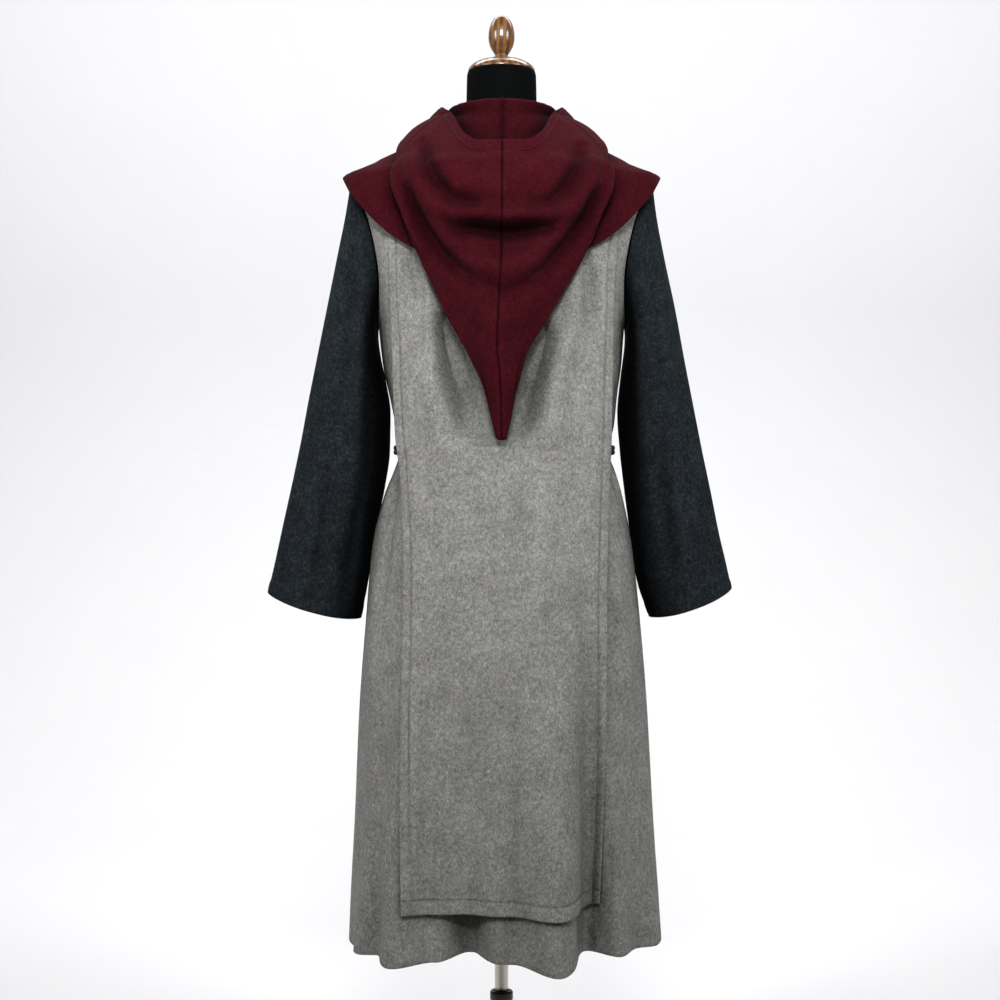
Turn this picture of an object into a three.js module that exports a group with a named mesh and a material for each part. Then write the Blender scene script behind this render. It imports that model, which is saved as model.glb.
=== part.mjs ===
/**
 * A monk habit worn by a tailor's dress form.
 *
 * The habit is a long grey wool tunic with wide charcoal sleeves, a grey scapular
 * (one panel behind, one in front), a burgundy shoulder mantle, a burgundy hood
 * pushed back into a long point, and a cord belt. The form is a limbless torso
 * with a wooden cap, on a pole that telescopes in a tube on a round plate.
 *
 * Millimetres. +Z is up, the front faces -Y and +X is the wearer's left.
 * The origin is on the floor, at the centre of the base plate.
 */
import * as THREE from 'three';

// ---------------------------------------------------------------------------
// Driving sizes
// ---------------------------------------------------------------------------
const WOOL = 2; // wall of every cloth panel
const SEAM = 0.3; // gap left between two pieces that are sewn together
const LAY = 1.85; // air under a panel that lies on another

const NECK_BACK_Z = 1646; // tunic neckline behind
const NECK_FRONT_DROP = 46; // how much lower the neckline is in front
const HEM_Z = 311; // tunic hem
const HEM_DIP = 0.15; // how far a fold's hem drops, per mm of fold

const ARMHOLE_Z = 1431; // middle of the armhole
const ARMHOLE_HALF_HEIGHT = 119;
const ARMHOLE_HALF_DEPTH = 66;

const WAIST_Z = 1112;
const WAIST_BAND = 11; // the belt holds the tunic flat this far above and below
const BELT_HEIGHT = 16;
const BELT_THICKNESS = 7;
const BELT_AIR = 0.9; // between the belt and the tunic under it

const SCAPULAR_HEM_Z = 386;
const SCAPULAR_SHOULDER_Z = 1595; // below this the scapular is narrower than the shoulders

const MANTLE_NECK_Z = 1652;
const MANTLE_NECK_DROP = 44;
const MANTLE_SIDE_Z = 1561; // mantle hem at the points of the shoulders
const MANTLE_BACK_DROP = 175; // how much lower the hem is behind
const MANTLE_FRONT_DROP = 160;

const HOOD_TOP_TURN = 4; // radius of the hood's turn at the neck
const HOOD_POINT_TURN = 4.5; // radius of the hood's fold along its lower edge

const FORM_BASE_Z = 850;
const FORM_NECK_Z = 1736; // the jersey ends here, under the wooden cap
const POLE_RADIUS = 11.2;
const POLE_FOOT_Z = 20;
const GROOVE_WIDTH = 4;
const GROOVE_DEPTH = 2.5;
const RUNNING_GAP = 0.35; // play between the pole and its bush
const TUBE_RADIUS = 19;
const TUBE_WALL = 1.5;
const BUSH_HEIGHT = 13;
const BUSH_TOP_Z = 221;
const PLATE_RADIUS = 195;
const PLATE_THICKNESS = 10;
const BOARD_THICKNESS = 10;
const SOCKET_HEIGHT = 30;
const SOCKET_RADIUS = 30;

// ---------------------------------------------------------------------------
// Smooth tables: rows of numbers under named columns
// ---------------------------------------------------------------------------
function smoothCurve(places, values) {
  const last = places.length - 1;
  const slopes = places.slice(1).map((place, k) => (values[k + 1] - values[k]) / (place - places[k]));
  const tangents = places.map((place, k) => {
    const before = slopes[Math.max(k - 1, 0)];
    const after = slopes[Math.min(k, last - 1)];
    return before * after > 0 ? 2 * before * after / (before + after) : 0;
  });
  return (at) => {
    if (at <= places[0]) return values[0] + tangents[0] * (at - places[0]);
    if (at >= places[last]) return values[last] + tangents[last] * (at - places[last]);
    const k = places.findIndex((place) => place > at) - 1;
    const span = places[k + 1] - places[k];
    const t = (at - places[k]) / span;
    const rise = t * t * (3 - 2 * t);
    const bend = tangents[k] * t * (1 - t) ** 2 - tangents[k + 1] * t * t * (1 - t);
    return values[k] + (values[k + 1] - values[k]) * rise + span * bend;
  };
}

// The first column is what the others are looked up by.
function smoothTable(columns, rows) {
  const ordered = [...rows].sort((a, b) => a[0] - b[0]);
  const places = ordered.map((row) => row[0]);
  const column = (k) => ordered.map((row) => row[k]);
  const curves = columns.slice(1).map((name, k) => [name, smoothCurve(places, column(k + 1))]);
  return (at) => Object.fromEntries(curves.map(([name, curve]) => [name, curve(at)]));
}

// ---------------------------------------------------------------------------
// Rings: a rounded section with its own depth behind and in front
// ---------------------------------------------------------------------------
const radians = THREE.MathUtils.degToRad;
const lerp = THREE.MathUtils.lerp;

function signedPower(value, power) {
  return Math.sign(value) * Math.abs(value) ** power;
}

// Angle 0 is the wearer's left, a quarter turn is the back.
function ringPoint(section, angle, z) {
  const power = 2 / section.square;
  const sine = Math.sin(angle);
  const depth = sine < 0 ? section.front : section.back;
  const x = (section.shift ?? 0) + section.half * signedPower(Math.cos(angle), power);
  return new THREE.Vector3(x, depth * signedPower(sine, power), z);
}

// Flat outward direction of the same ring.
function ringOutward(section, angle) {
  const power = 2 - 2 / section.square;
  const sine = Math.sin(angle);
  const depth = sine < 0 ? section.front : section.back;
  const x = signedPower(Math.cos(angle), power) / section.half;
  return new THREE.Vector3(x, signedPower(sine, power) / depth, 0).normalize();
}

// Distance from the axis to the ring along a true compass direction.
function ringRadius(section, heading) {
  const depth = Math.sin(heading) < 0 ? section.front : section.back;
  const across = (Math.abs(Math.cos(heading)) / section.half) ** section.square;
  const along = (Math.abs(Math.sin(heading)) / depth) ** section.square;
  return (across + along) ** (-1 / section.square);
}

// ---------------------------------------------------------------------------
// Meshes from grids
// ---------------------------------------------------------------------------
function closedGeometry(points, faces) {
  const geometry = new THREE.BufferGeometry().setFromPoints(points);
  let volume = 0;
  for (const [a, b, c] of faces) {
    volume += points[a].dot(new THREE.Vector3().crossVectors(points[b], points[c]));
  }
  geometry.setIndex(faces.flatMap(([a, b, c]) => (volume < 0 ? [a, c, b] : [a, b, c])));
  geometry.computeVertexNormals();
  return geometry;
}

function quad(a, b, c, d) {
  return [[a, b, c], [a, c, d]];
}

// A cloth wall: one skin at each end of every thickness line, and the edges between.
// line(row, column) gives the two ends of the thickness line there.
function clothWall({ rows, columns, loop = false, line }) {
  const across = loop ? columns : columns + 1;
  const points = [];
  for (let row = 0; row <= rows; row += 1) {
    for (let column = 0; column < across; column += 1) points.push(...line(row, column));
  }
  const near = (row, column) => 2 * (row * across + column % across);
  const far = (row, column) => near(row, column) + 1;
  const faces = [];
  for (let row = 0; row < rows; row += 1) {
    for (let column = 0; column < columns; column += 1) {
      const next = column + 1;
      faces.push(...quad(near(row, column), near(row + 1, column), near(row + 1, next), near(row, next)));
      faces.push(...quad(far(row, column), far(row, next), far(row + 1, next), far(row + 1, column)));
    }
  }
  for (let column = 0; column < columns; column += 1) {
    const next = column + 1;
    faces.push(...quad(near(0, column), near(0, next), far(0, next), far(0, column)));
    faces.push(...quad(near(rows, column), far(rows, column), far(rows, next), near(rows, next)));
  }
  for (let row = 0; row < rows && !loop; row += 1) {
    const below = row + 1;
    faces.push(...quad(near(row, 0), far(row, 0), far(below, 0), near(below, 0)));
    faces.push(...quad(near(row, columns), near(below, columns), far(below, columns), far(row, columns)));
  }
  return closedGeometry(points, faces);
}

// Ends of a thickness line, measured out from a surface along its own normal.
function thicknessLine(surface, u, v, inner, outer) {
  const du = 0.004;
  const dv = 0.5;
  const alongU = surface(u + du, v).sub(surface(u - du, v));
  const alongV = surface(u, v + dv).sub(surface(u, v - dv));
  const normal = alongU.cross(alongV).normalize();
  const point = surface(u, v);
  return [point.clone().addScaledVector(normal, inner), point.addScaledVector(normal, outer)];
}

// A filled body through a stack of rings, closed flat at both ends.
function filledBody(sectionAt, heights, columns) {
  const points = [];
  const faces = [];
  for (const z of heights) {
    const section = sectionAt(z);
    for (let k = 0; k < columns; k += 1) points.push(ringPoint(section, 2 * Math.PI * k / columns, z));
  }
  for (let row = 0; row < heights.length - 1; row += 1) {
    for (let k = 0; k < columns; k += 1) {
      const next = (k + 1) % columns;
      const low = row * columns;
      const high = low + columns;
      faces.push(...quad(low + k, low + next, high + next, high + k));
    }
  }
  const topRow = (heights.length - 1) * columns;
  const bottom = points.push(new THREE.Vector3(0, 0, heights[0])) - 1;
  const top = points.push(new THREE.Vector3(0, 0, heights[heights.length - 1])) - 1;
  for (let k = 0; k < columns; k += 1) {
    const next = (k + 1) % columns;
    faces.push([bottom, next, k], [top, topRow + k, topRow + next]);
  }
  return closedGeometry(points, faces);
}

// ---------------------------------------------------------------------------
// Materials and the group
// ---------------------------------------------------------------------------
function cloth(color) {
  return new THREE.MeshStandardMaterial({ color, roughness: 0.95, metalness: 0 });
}

const greyWool = cloth(0x9a9ba0);
const charcoalWool = cloth(0x3b3c42);
const burgundyWool = cloth(0x5b1a2b);
const beltCord = cloth(0x2a2420);
const blackJersey = cloth(0x141416);
const wood = new THREE.MeshStandardMaterial({ color: 0xb07f4a, roughness: 0.45, metalness: 0 });
const nickel = new THREE.MeshStandardMaterial({ color: 0xc9c4ba, roughness: 0.3, metalness: 1 });
const darkPlastic = new THREE.MeshStandardMaterial({ color: 0x1d1d1f, roughness: 0.5, metalness: 0 });

const group = new THREE.Group();

function add(name, geometry, material) {
  const mesh = new THREE.Mesh(geometry, material);
  mesh.name = name;
  group.add(mesh);
  return mesh;
}

// ---------------------------------------------------------------------------
// Tunic: a back and a front panel, seamed over the shoulders and down the sides
// ---------------------------------------------------------------------------
const TUNIC_COLUMNS = ['z', 'half', 'back', 'front', 'square', 'shift'];
const TUNIC_SHOULDERS = [
  [1646, 75, 68, 62, 2.0, 0],
  [1622, 124, 80, 69, 2.0, 0],
  [1598, 173, 91, 76, 2.0, 0],
  [1580, 210, 98, 84, 2.05, 0],
  [1566, 236, 104, 88, 2.1, 0],
  [1555, 246, 109, 93, 2.15, 0],
  [1540, 249, 113, 97, 2.2, 0],
  [1500, 238, 123, 106, 2.3, 0],
  [1450, 226, 131, 116, 2.4, 0],
];
const tunicSection = smoothTable(TUNIC_COLUMNS, [
  ...TUNIC_SHOULDERS,
  [1400, 213, 134, 121, 2.5, 0],
  [1350, 206, 132, 120, 2.5, 0],
  [1312, 202, 129, 118, 2.5, 0],
  [1250, 196, 122, 114, 2.5, -1],
  [1190, 185, 114, 108, 2.4, -3],
  [1145, 178, 109, 103, 2.3, -5],
  [WAIST_Z + WAIST_BAND, 174.5, 107, 101, 2.3, -4.5],
  [WAIST_Z - WAIST_BAND, 174.5, 107, 101, 2.3, -4.5],
  [1080, 181, 110, 104, 2.3, -5],
  [1040, 195, 120, 114, 2.3, -3],
  [960, 213, 136, 130, 2.2, -1],
  [850, 224, 152, 146, 2.2, -2],
  [700, 236, 165, 158, 2.2, -2.5],
  [500, 246, 178, 170, 2.2, -4],
  [386, 253, 182, 176, 2.2, -5],
  [HEM_Z, 257, 186, 180, 2.2, -6],
]);

// Skirt folds: where round the ring, how far out (or in) at the hem, how wide,
// the height where the fold starts, and how much of it the scapular follows.
const FOLD_COLUMNS = ['at', 'push', 'spread', 'top', 'share'];
const FOLDS = [
  [30, 15, 12, 800, 1],
  [53, 40, 14, 980, 1],
  [78, -48, 11, 930, 0.35],
  [104.5, 57, 13, 960, 1],
  [122, -40, 12, 1040, 1],
  [148, -16, 16, 1000, 1],
  [-35, 30, 14, 900, 1],
  [-62, -45, 13, 940, 0.35],
  [-85, 55, 14, 900, 1],
  [-112, -44, 13, 960, 0.35],
  [-140, 38, 14, 920, 1],
].map((row) => Object.fromEntries(FOLD_COLUMNS.map((name, k) => [name, row[k]])));
const FOLD_GROWTH = 1.4;

function foldPush(angle, z, followed = false) {
  const degrees = THREE.MathUtils.radToDeg(Math.atan2(Math.sin(angle), Math.cos(angle)));
  let push = 0;
  for (const fold of FOLDS) {
    const away = Math.abs(degrees - fold.at) / fold.spread;
    if (away >= 1 || z >= fold.top) continue;
    const growth = ((fold.top - z) / (fold.top - HEM_Z)) ** FOLD_GROWTH;
    const share = followed ? fold.share : 1;
    push += share * fold.push * growth * (1 + Math.cos(Math.PI * away)) / 2;
  }
  return push;
}

function tunicSurface(angle, z) {
  const section = tunicSection(z);
  return ringPoint(section, angle, z).addScaledVector(ringOutward(section, angle), foldPush(angle, z));
}

function necklineZ(angle) {
  return NECK_BACK_Z - NECK_FRONT_DROP * Math.max(0, -Math.sin(angle)) ** 2;
}

// How far round from the side seam the armhole has been cut away at a height.
function armholeAngle(z, side) {
  const rise = (z - ARMHOLE_Z) / ARMHOLE_HALF_HEIGHT;
  if (Math.abs(rise) >= 1) return 0;
  const section = tunicSection(z);
  const y = ARMHOLE_HALF_DEPTH * Math.sqrt(1 - rise * rise);
  const depth = side > 0 ? section.back : section.front;
  return Math.asin((y / depth) ** (section.square / 2));
}

const ARMHOLE_ROWS = 8;
const ARMHOLE_HEIGHTS = Array.from({ length: ARMHOLE_ROWS + 1 }, (unused, k) => (
  ARMHOLE_Z + ARMHOLE_HALF_HEIGHT * Math.cos(Math.PI * k / ARMHOLE_ROWS)
));
const SHOULDER_ROWS = 3;
const SKIRT_HEIGHTS = [
  1230, 1165, WAIST_Z + WAIST_BAND, WAIST_Z - WAIST_BAND, 1075, 1020, 900, 760, 610, 460, HEM_Z,
];
const TUNIC_ROWS = SHOULDER_ROWS + ARMHOLE_ROWS + SKIRT_HEIGHTS.length;

// Side is 1 for the back panel and -1 for the front one.
function tunicPlace(row, share, side) {
  const armholeTop = ARMHOLE_HEIGHTS[0];
  if (row < SHOULDER_ROWS) {
    const angle = side * lerp(0, Math.PI, share);
    return [angle, lerp(necklineZ(angle), armholeTop, row / SHOULDER_ROWS)];
  }
  const heights = [...ARMHOLE_HEIGHTS, ...SKIRT_HEIGHTS];
  const z = heights[row - SHOULDER_ROWS];
  const cut = armholeAngle(z, side);
  const angle = side * lerp(cut, Math.PI - cut, share);
  const hemShare = Math.max(0, (WAIST_Z - z) / (WAIST_Z - HEM_Z)) ** 3;
  return [angle, z - HEM_DIP * foldPush(angle, HEM_Z) * hemShare];
}

function tunicPanel(side, columns) {
  const line = (row, column) => {
    const [angle, z] = tunicPlace(row, column / columns, side);
    return thicknessLine(tunicSurface, angle, z, -WOOL, 0);
  };
  return clothWall({ rows: TUNIC_ROWS, columns, line }).translate(0, side * SEAM / 2, 0);
}

add('tunic_back', tunicPanel(1, 28), greyWool);
add('tunic_front', tunicPanel(-1, 20), greyWool);

// ---------------------------------------------------------------------------
// Sleeves: wide tubes, flat across the body, set in the armholes
// ---------------------------------------------------------------------------
// Each row is one section from the armhole (0) to the cuff (1): the outer and the
// inner corner as distance from the middle and height, and half the tube's depth.
const SLEEVE_COLUMNS = ['along', 'outerX', 'outerZ', 'innerX', 'innerZ', 'depth', 'square'];
const SLEEVES = {
  sleeve_left: {
    side: 1,
    section: smoothTable(SLEEVE_COLUMNS, [
      [0.0, 249, 1550, 205, 1312, 66, 2.0],
      [0.1, 257, 1500, 204.5, 1299, 65, 2.0],
      [0.2, 271, 1430, 203, 1283, 62, 2.05],
      [0.3, 288, 1345, 200.5, 1260, 58, 2.1],
      [0.4, 304, 1265, 195.5, 1222, 54, 2.15],
      [0.5, 318, 1195, 190, 1172, 51, 2.2],
      [0.6, 331, 1125, 189, 1112, 49, 2.2],
      [0.7, 345, 1058, 198, 1042, 47, 2.25],
      [0.8, 360, 990, 213, 969, 45, 2.3],
      [0.9, 373, 930, 223, 898, 44, 2.3],
      [1.0, 385, 878, 232, 836, 43, 2.3],
    ]),
  },
  sleeve_right: {
    side: -1,
    section: smoothTable(SLEEVE_COLUMNS, [
      [0.0, 249, 1550, 205, 1312, 66, 2.0],
      [0.1, 255, 1500, 204.5, 1299, 65, 2.0],
      [0.2, 268, 1430, 203.5, 1283, 62, 2.05],
      [0.3, 286, 1345, 202, 1260, 58, 2.1],
      [0.4, 302, 1258, 199, 1222, 54, 2.15],
      [0.5, 316, 1186, 197, 1172, 51, 2.2],
      [0.6, 330, 1115, 199, 1112, 49, 2.2],
      [0.7, 345, 1043, 206, 1042, 47, 2.25],
      [0.8, 359, 973, 217, 969, 45, 2.3],
      [0.9, 371, 922, 228, 898, 44, 2.3],
      [1.0, 379, 885, 244, 838, 43, 2.3],
    ]),
  },
};
const SLEEVE_ROWS = 10;
const SLEEVE_CORNERS = 2 * ARMHOLE_ROWS;
const CUFF_DROP = 10; // the cuff's edge hangs this much lower between its corners
const SLEEVE_STANDOFF = [1.6, 3]; // clear of the armhole's edge at its top and at the underarm

// Angle 0 is the sleeve's outer line, a quarter turn its back, a half turn its inner line.
function flatSleevePoint(section, angle) {
  const outer = new THREE.Vector2(section.outerX, section.outerZ);
  const inner = new THREE.Vector2(section.innerX, section.innerZ);
  const power = 2 / section.square;
  const middle = outer.clone().add(inner).multiplyScalar(0.5);
  const reach = outer.sub(inner).multiplyScalar(0.5 * signedPower(Math.cos(angle), power));
  const y = section.depth * signedPower(Math.sin(angle), power);
  return new THREE.Vector3(middle.x + reach.x, y, middle.y + reach.y);
}

function armholeEdge(angle) {
  const z = ARMHOLE_Z + ARMHOLE_HALF_HEIGHT * Math.cos(angle);
  const side = Math.sin(angle) < 0 ? -1 : 1;
  const edge = ringPoint(tunicSection(z), side * armholeAngle(z, side), z);
  const standoff = lerp(...SLEEVE_STANDOFF, (1 - Math.cos(angle)) / 2);
  return new THREE.Vector3(edge.x + standoff, ARMHOLE_HALF_DEPTH * Math.sin(angle), z);
}

function sleevePoint({ side, section }, angle, along) {
  const point = flatSleevePoint(section(along), angle);
  const fromFlat = armholeEdge(angle).sub(flatSleevePoint(section(0), angle));
  point.addScaledVector(fromFlat, Math.max(0, 1 - along) ** 4);
  point.z -= CUFF_DROP * Math.sin(angle) ** 2 * Math.max(0, along) ** 6;
  return new THREE.Vector3(side * point.x, point.y, point.z);
}

function sleeve(shape) {
  const surface = (angle, up) => sleevePoint(shape, shape.side * angle, 1 - up / 500);
  const line = (row, column) => {
    const angle = 2 * Math.PI * column / SLEEVE_CORNERS;
    return thicknessLine(surface, angle, 500 * (1 - row / SLEEVE_ROWS), -WOOL, 0);
  };
  return clothWall({ rows: SLEEVE_ROWS, columns: SLEEVE_CORNERS, loop: true, line });
}

for (const [name, shape] of Object.entries(SLEEVES)) add(name, sleeve(shape), charcoalWool);

// ---------------------------------------------------------------------------
// Scapular: a long panel behind and in front, free of the tunic below the chest
// ---------------------------------------------------------------------------
const scapularSection = smoothTable(TUNIC_COLUMNS, [
  ...TUNIC_SHOULDERS,
  [1400, 216, 136, 123, 2.5, 0],
  [1312, 213, 136, 124, 2.5, 0],
  [1200, 212, 138, 124, 2.5, -2],
  [WAIST_Z, 214, 141, 125, 2.5, -4],
  [1040, 217, 144, 127, 2.4, -3],
  [960, 222, 149, 133, 2.3, -1],
  [850, 230, 158, 149, 2.2, -2],
  [700, 240, 170, 161, 2.2, -2.5],
  [500, 250, 182, 173, 2.2, -4],
  [SCAPULAR_HEM_Z, 256, 189, 179, 2.2, -5],
]);

// Distance of the side edges from the middle, on the wearer's left and right.
const scapularEdge = smoothTable(['z', 'left', 'right'], [
  [1450, 179, 184],
  [1350, 176, 178],
  [1140, 168, 174],
  [1062, 159, 171],
  [960, 155, 168],
  [870, 153, 166],
  [613, 150, 166],
  [SCAPULAR_HEM_Z, 144, 166],
]);

const SCAPULAR_HEIGHTS = [
  SCAPULAR_SHOULDER_Z, 1592, 1586, 1577, 1564, 1550, 1530, 1500, 1460, 1400, 1312, 1200,
  WAIST_Z, 1010, 880, 720, 550, SCAPULAR_HEM_Z,
];
const SCAPULAR_NECK_ROWS = 3;
const SCAPULAR_ROWS = SCAPULAR_NECK_ROWS + SCAPULAR_HEIGHTS.length - 1;

function scapularSurface(angle, z) {
  const section = scapularSection(z);
  return ringPoint(section, angle, z).addScaledVector(ringOutward(section, angle), foldPush(angle, z, true));
}

function edgeAngle(z, name, way) {
  const section = scapularSection(z);
  const edge = scapularEdge(Math.min(z, 1450))[name];
  const share = Math.min(1, (edge - way * section.shift) / section.half);
  return Math.acos(share ** (section.square / 2));
}

function scapularPlace(row, share, side) {
  if (row < SCAPULAR_NECK_ROWS) {
    const angle = side * lerp(0, Math.PI, share);
    return [angle, lerp(necklineZ(angle), SCAPULAR_SHOULDER_Z, row / SCAPULAR_NECK_ROWS)];
  }
  const z = SCAPULAR_HEIGHTS[row - SCAPULAR_NECK_ROWS];
  return [side * lerp(edgeAngle(z, 'left', 1), Math.PI - edgeAngle(z, 'right', -1), share), z];
}

function scapularPanel(side, columns) {
  const line = (row, column) => {
    const [angle, z] = scapularPlace(row, column / columns, side);
    return thicknessLine(scapularSurface, angle, z, LAY, LAY + WOOL);
  };
  return clothWall({ rows: SCAPULAR_ROWS, columns, line }).translate(0, side * SEAM / 2, 0);
}

add('scapular_back', scapularPanel(1, 18), greyWool);
add('scapular_front', scapularPanel(-1, 15), greyWool);

// ---------------------------------------------------------------------------
// Belt: a flat braided cord round the waist, over the tunic and under the scapular
// ---------------------------------------------------------------------------
const BELT_STEPS = [-1, 0, 1]; // down the cord's face, in half heights
const BELT_CORNERS = 44;

function belt() {
  const line = (row, column) => {
    const step = BELT_STEPS[row];
    const bulge = BELT_THICKNESS * (0.5 + 0.5 * Math.sqrt(1 - step * step));
    const z = WAIST_Z - step * BELT_HEIGHT / 2;
    return thicknessLine(tunicSurface, 2 * Math.PI * column / BELT_CORNERS, z, BELT_AIR, BELT_AIR + bulge);
  };
  return clothWall({ rows: BELT_STEPS.length - 1, columns: BELT_CORNERS, loop: true, line });
}

add('belt', belt(), beltCord);

// ---------------------------------------------------------------------------
// Mantle: a shoulder cape in two halves, seamed down the back and the front
// ---------------------------------------------------------------------------
const mantleSection = smoothTable(['z', 'half', 'back', 'front', 'square'], [
  [1652, 82, 74, 66, 2.0],
  [1646, 91, 77.4, 71.5, 2.0],
  [1622, 141, 89, 81, 2.0],
  [1603, 180, 99, 90, 2.0],
  [1580, 228, 110, 101, 2.05],
  [MANTLE_SIDE_Z, 263, 122, 110, 2.1],
  [1530, 264, 130, 116, 2.2],
  [1500, 258, 135, 121, 2.3],
  [1450, 247, 141, 127, 2.4],
  [1400, 237, 144, 131, 2.5],
  [1350, 229, 145, 132, 2.5],
  [1250, 226, 147, 133, 2.5],
  [1100, 226, 150, 135, 2.5],
]);

// Columns of the mantle and of the hood, from the middle of the back to the middle
// of the front: compass headings, where 0 is straight out over the shoulder.
const CAPE_HEADINGS = [
  90, 87.5, 82, 75.5, 68, 60, 51, 43, 36, 32, 29, 24, 16, 8, 0, -7, -15, -25, -38, -54, -72, -90,
].map(radians);
const MANTLE_ROWS = 6;

function mantlePoint(heading, z) {
  const radius = ringRadius(mantleSection(z), heading);
  return new THREE.Vector3(radius * Math.cos(heading), radius * Math.sin(heading), z);
}

function mantleNeckZ(heading) {
  return MANTLE_NECK_Z - MANTLE_NECK_DROP * Math.max(0, -Math.sin(heading)) ** 2;
}

function mantleHemZ(heading) {
  const drop = Math.sin(heading) < 0 ? MANTLE_FRONT_DROP : MANTLE_BACK_DROP;
  const edge = mantlePoint(heading, MANTLE_SIDE_Z);
  const section = mantleSection(MANTLE_SIDE_Z);
  const back = Math.abs(edge.y) / (edge.y < 0 ? section.front : section.back);
  return MANTLE_SIDE_Z - drop * back ** 2;
}

// Mirrors a thickness line to the wearer's right and opens the centre seam.
function halfLine(ends, side) {
  return ends.map((end) => new THREE.Vector3(side * (end.x + SEAM / 2), end.y, end.z));
}

function mantleHalf(side) {
  const line = (row, column) => {
    const heading = CAPE_HEADINGS[column];
    const z = lerp(mantleNeckZ(heading), mantleHemZ(heading), row / MANTLE_ROWS);
    return halfLine(thicknessLine(mantlePoint, heading, z, -WOOL, 0), side);
  };
  return clothWall({ rows: MANTLE_ROWS, columns: CAPE_HEADINGS.length - 1, line });
}

add('mantle_left', mantleHalf(1), burgundyWool);
add('mantle_right', mantleHalf(-1), burgundyWool);

// ---------------------------------------------------------------------------
// Hood: rises from the neck seam, turns over, lies down the back to its fold and
// comes up again as the outer layer to the face opening's rim
// ---------------------------------------------------------------------------
// One row per heading: height of the lower fold and how far the cloth runs round it,
// height and radius of the rim, height of the turn at the neck, and the outer layer's puff.
const hoodColumn = smoothTable(['heading', 'foldZ', 'foldRun', 'rimZ', 'rimRadius', 'topZ', 'puff'], [
  [90, 1123, 7, 1594, 153, 1676, 20],
  [87.5, 1128, 9, 1594, 153, 1676, 20],
  [81, 1196, 12, 1594.5, 155, 1676, 20],
  [75.5, 1246, 12, 1595, 156, 1676, 20],
  [67.8, 1290, 11, 1606, 151, 1676, 20],
  [58.7, 1330, 11, 1625, 134, 1675, 22],
  [51, 1378, 12, 1641, 120, 1675, 20],
  [43.7, 1425, 11, 1651, 112, 1674, 17],
  [36, 1466, 12, 1659, 107, 1674, 14],
  [33, 1497, 12, 1661, 105, 1673, 13],
  [31, 1528, 11, 1663, 104, 1673, 12],
  [29, 1552, 9, 1664, 103, 1673, 11],
  [25, 1572, 7, 1667, 101, 1673, 9],
  [18.5, 1587, 6, 1670, 99, 1672, 7],
  [11, 1598, 5, 1670, 98, 1671, 5],
  [0, 1605, 5, 1668, 97, 1668, 4],
  [-30, 1598, 5, 1655, 95, 1656, 6],
  [-60, 1580, 5, 1630, 92, 1638, 8],
  [-90, 1566, 5, 1612, 90, 1628, 10],
]);
// The point of the hood leans sideways as it hangs.
const hoodSway = smoothTable(['z', 'x'], [
  [1594, -1],
  [1425, 0],
  [1330, 5],
  [1270, 7],
  [1212, 2],
  [1123, 0],
]);
const HOOD_CLEAR = new THREE.Vector2(6.2, 2.4); // middle of the cloth off the mantle: out, up
const HOOD_LAYER_STEPS = 7;
const HOOD_OUTER_STEPS = 5;
const HOOD_SPREAD = 1.5; // crowds the rows of a layer towards the neck
const TURN_STEPS = 3;

function mirroredHeading(heading) {
  const degrees = THREE.MathUtils.radToDeg(heading);
  return degrees > 90 ? 180 - degrees : Math.max(degrees, -180 - degrees);
}

// The hood's middle line at one heading, as (radius, height) from neck seam to rim.
function hoodProfile(heading) {
  const column = hoodColumn(mirroredHeading(heading));
  const neckZ = mantleNeckZ(heading);
  const neck = ringRadius(mantleSection(neckZ), heading) - WOOL / 2;
  const turnZ = column.topZ - HOOD_TOP_TURN - WOOL / 2;
  const turnRadius = neck + 1 + HOOD_TOP_TURN;
  const profile = [new THREE.Vector2(neck, neckZ + SEAM)];
  for (let k = 0; k < TURN_STEPS; k += 1) {
    const angle = Math.PI * (1 - k / TURN_STEPS);
    const over = new THREE.Vector2(Math.cos(angle), Math.sin(angle)).multiplyScalar(HOOD_TOP_TURN);
    profile.push(over.add(new THREE.Vector2(turnRadius, turnZ)));
  }
  const layerRadius = (z) => Math.max(
    ringRadius(mantleSection(Math.min(z - HOOD_CLEAR.y, MANTLE_NECK_Z)), heading) + HOOD_CLEAR.x,
    turnRadius + HOOD_TOP_TURN,
  );
  const slope = layerRadius(column.foldZ) - layerRadius(column.foldZ + 4);
  const down = new THREE.Vector2(slope, -4).normalize();
  const out = new THREE.Vector2(-down.y, down.x);
  const layerEndZ = column.foldZ - down.y * column.foldRun;
  for (let k = 0; k <= HOOD_LAYER_STEPS; k += 1) {
    const z = lerp(turnZ, layerEndZ, (k / HOOD_LAYER_STEPS) ** HOOD_SPREAD);
    profile.push(new THREE.Vector2(layerRadius(z), z));
  }
  const layerEnd = profile[profile.length - 1];
  for (let k = 1; k < TURN_STEPS; k += 1) {
    const angle = Math.PI * k / TURN_STEPS;
    const point = layerEnd.clone().addScaledVector(out, HOOD_POINT_TURN * (1 - Math.cos(angle)));
    profile.push(point.addScaledVector(down, column.foldRun * Math.sin(angle)));
  }
  const start = layerEnd.clone().addScaledVector(out, 2 * HOOD_POINT_TURN);
  const startGap = start.x - layerRadius(start.y);
  const rimGap = column.rimRadius - layerRadius(column.rimZ);
  for (let k = 0; k <= HOOD_OUTER_STEPS; k += 1) {
    const share = k / HOOD_OUTER_STEPS;
    const z = lerp(start.y, column.rimZ, share);
    const gap = lerp(startGap, rimGap, share) + column.puff * Math.sin(Math.PI * share);
    profile.push(new THREE.Vector2(layerRadius(z) + gap, z));
  }
  return profile;
}

const HOOD_ROWS = hoodProfile(0).length - 1;

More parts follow.
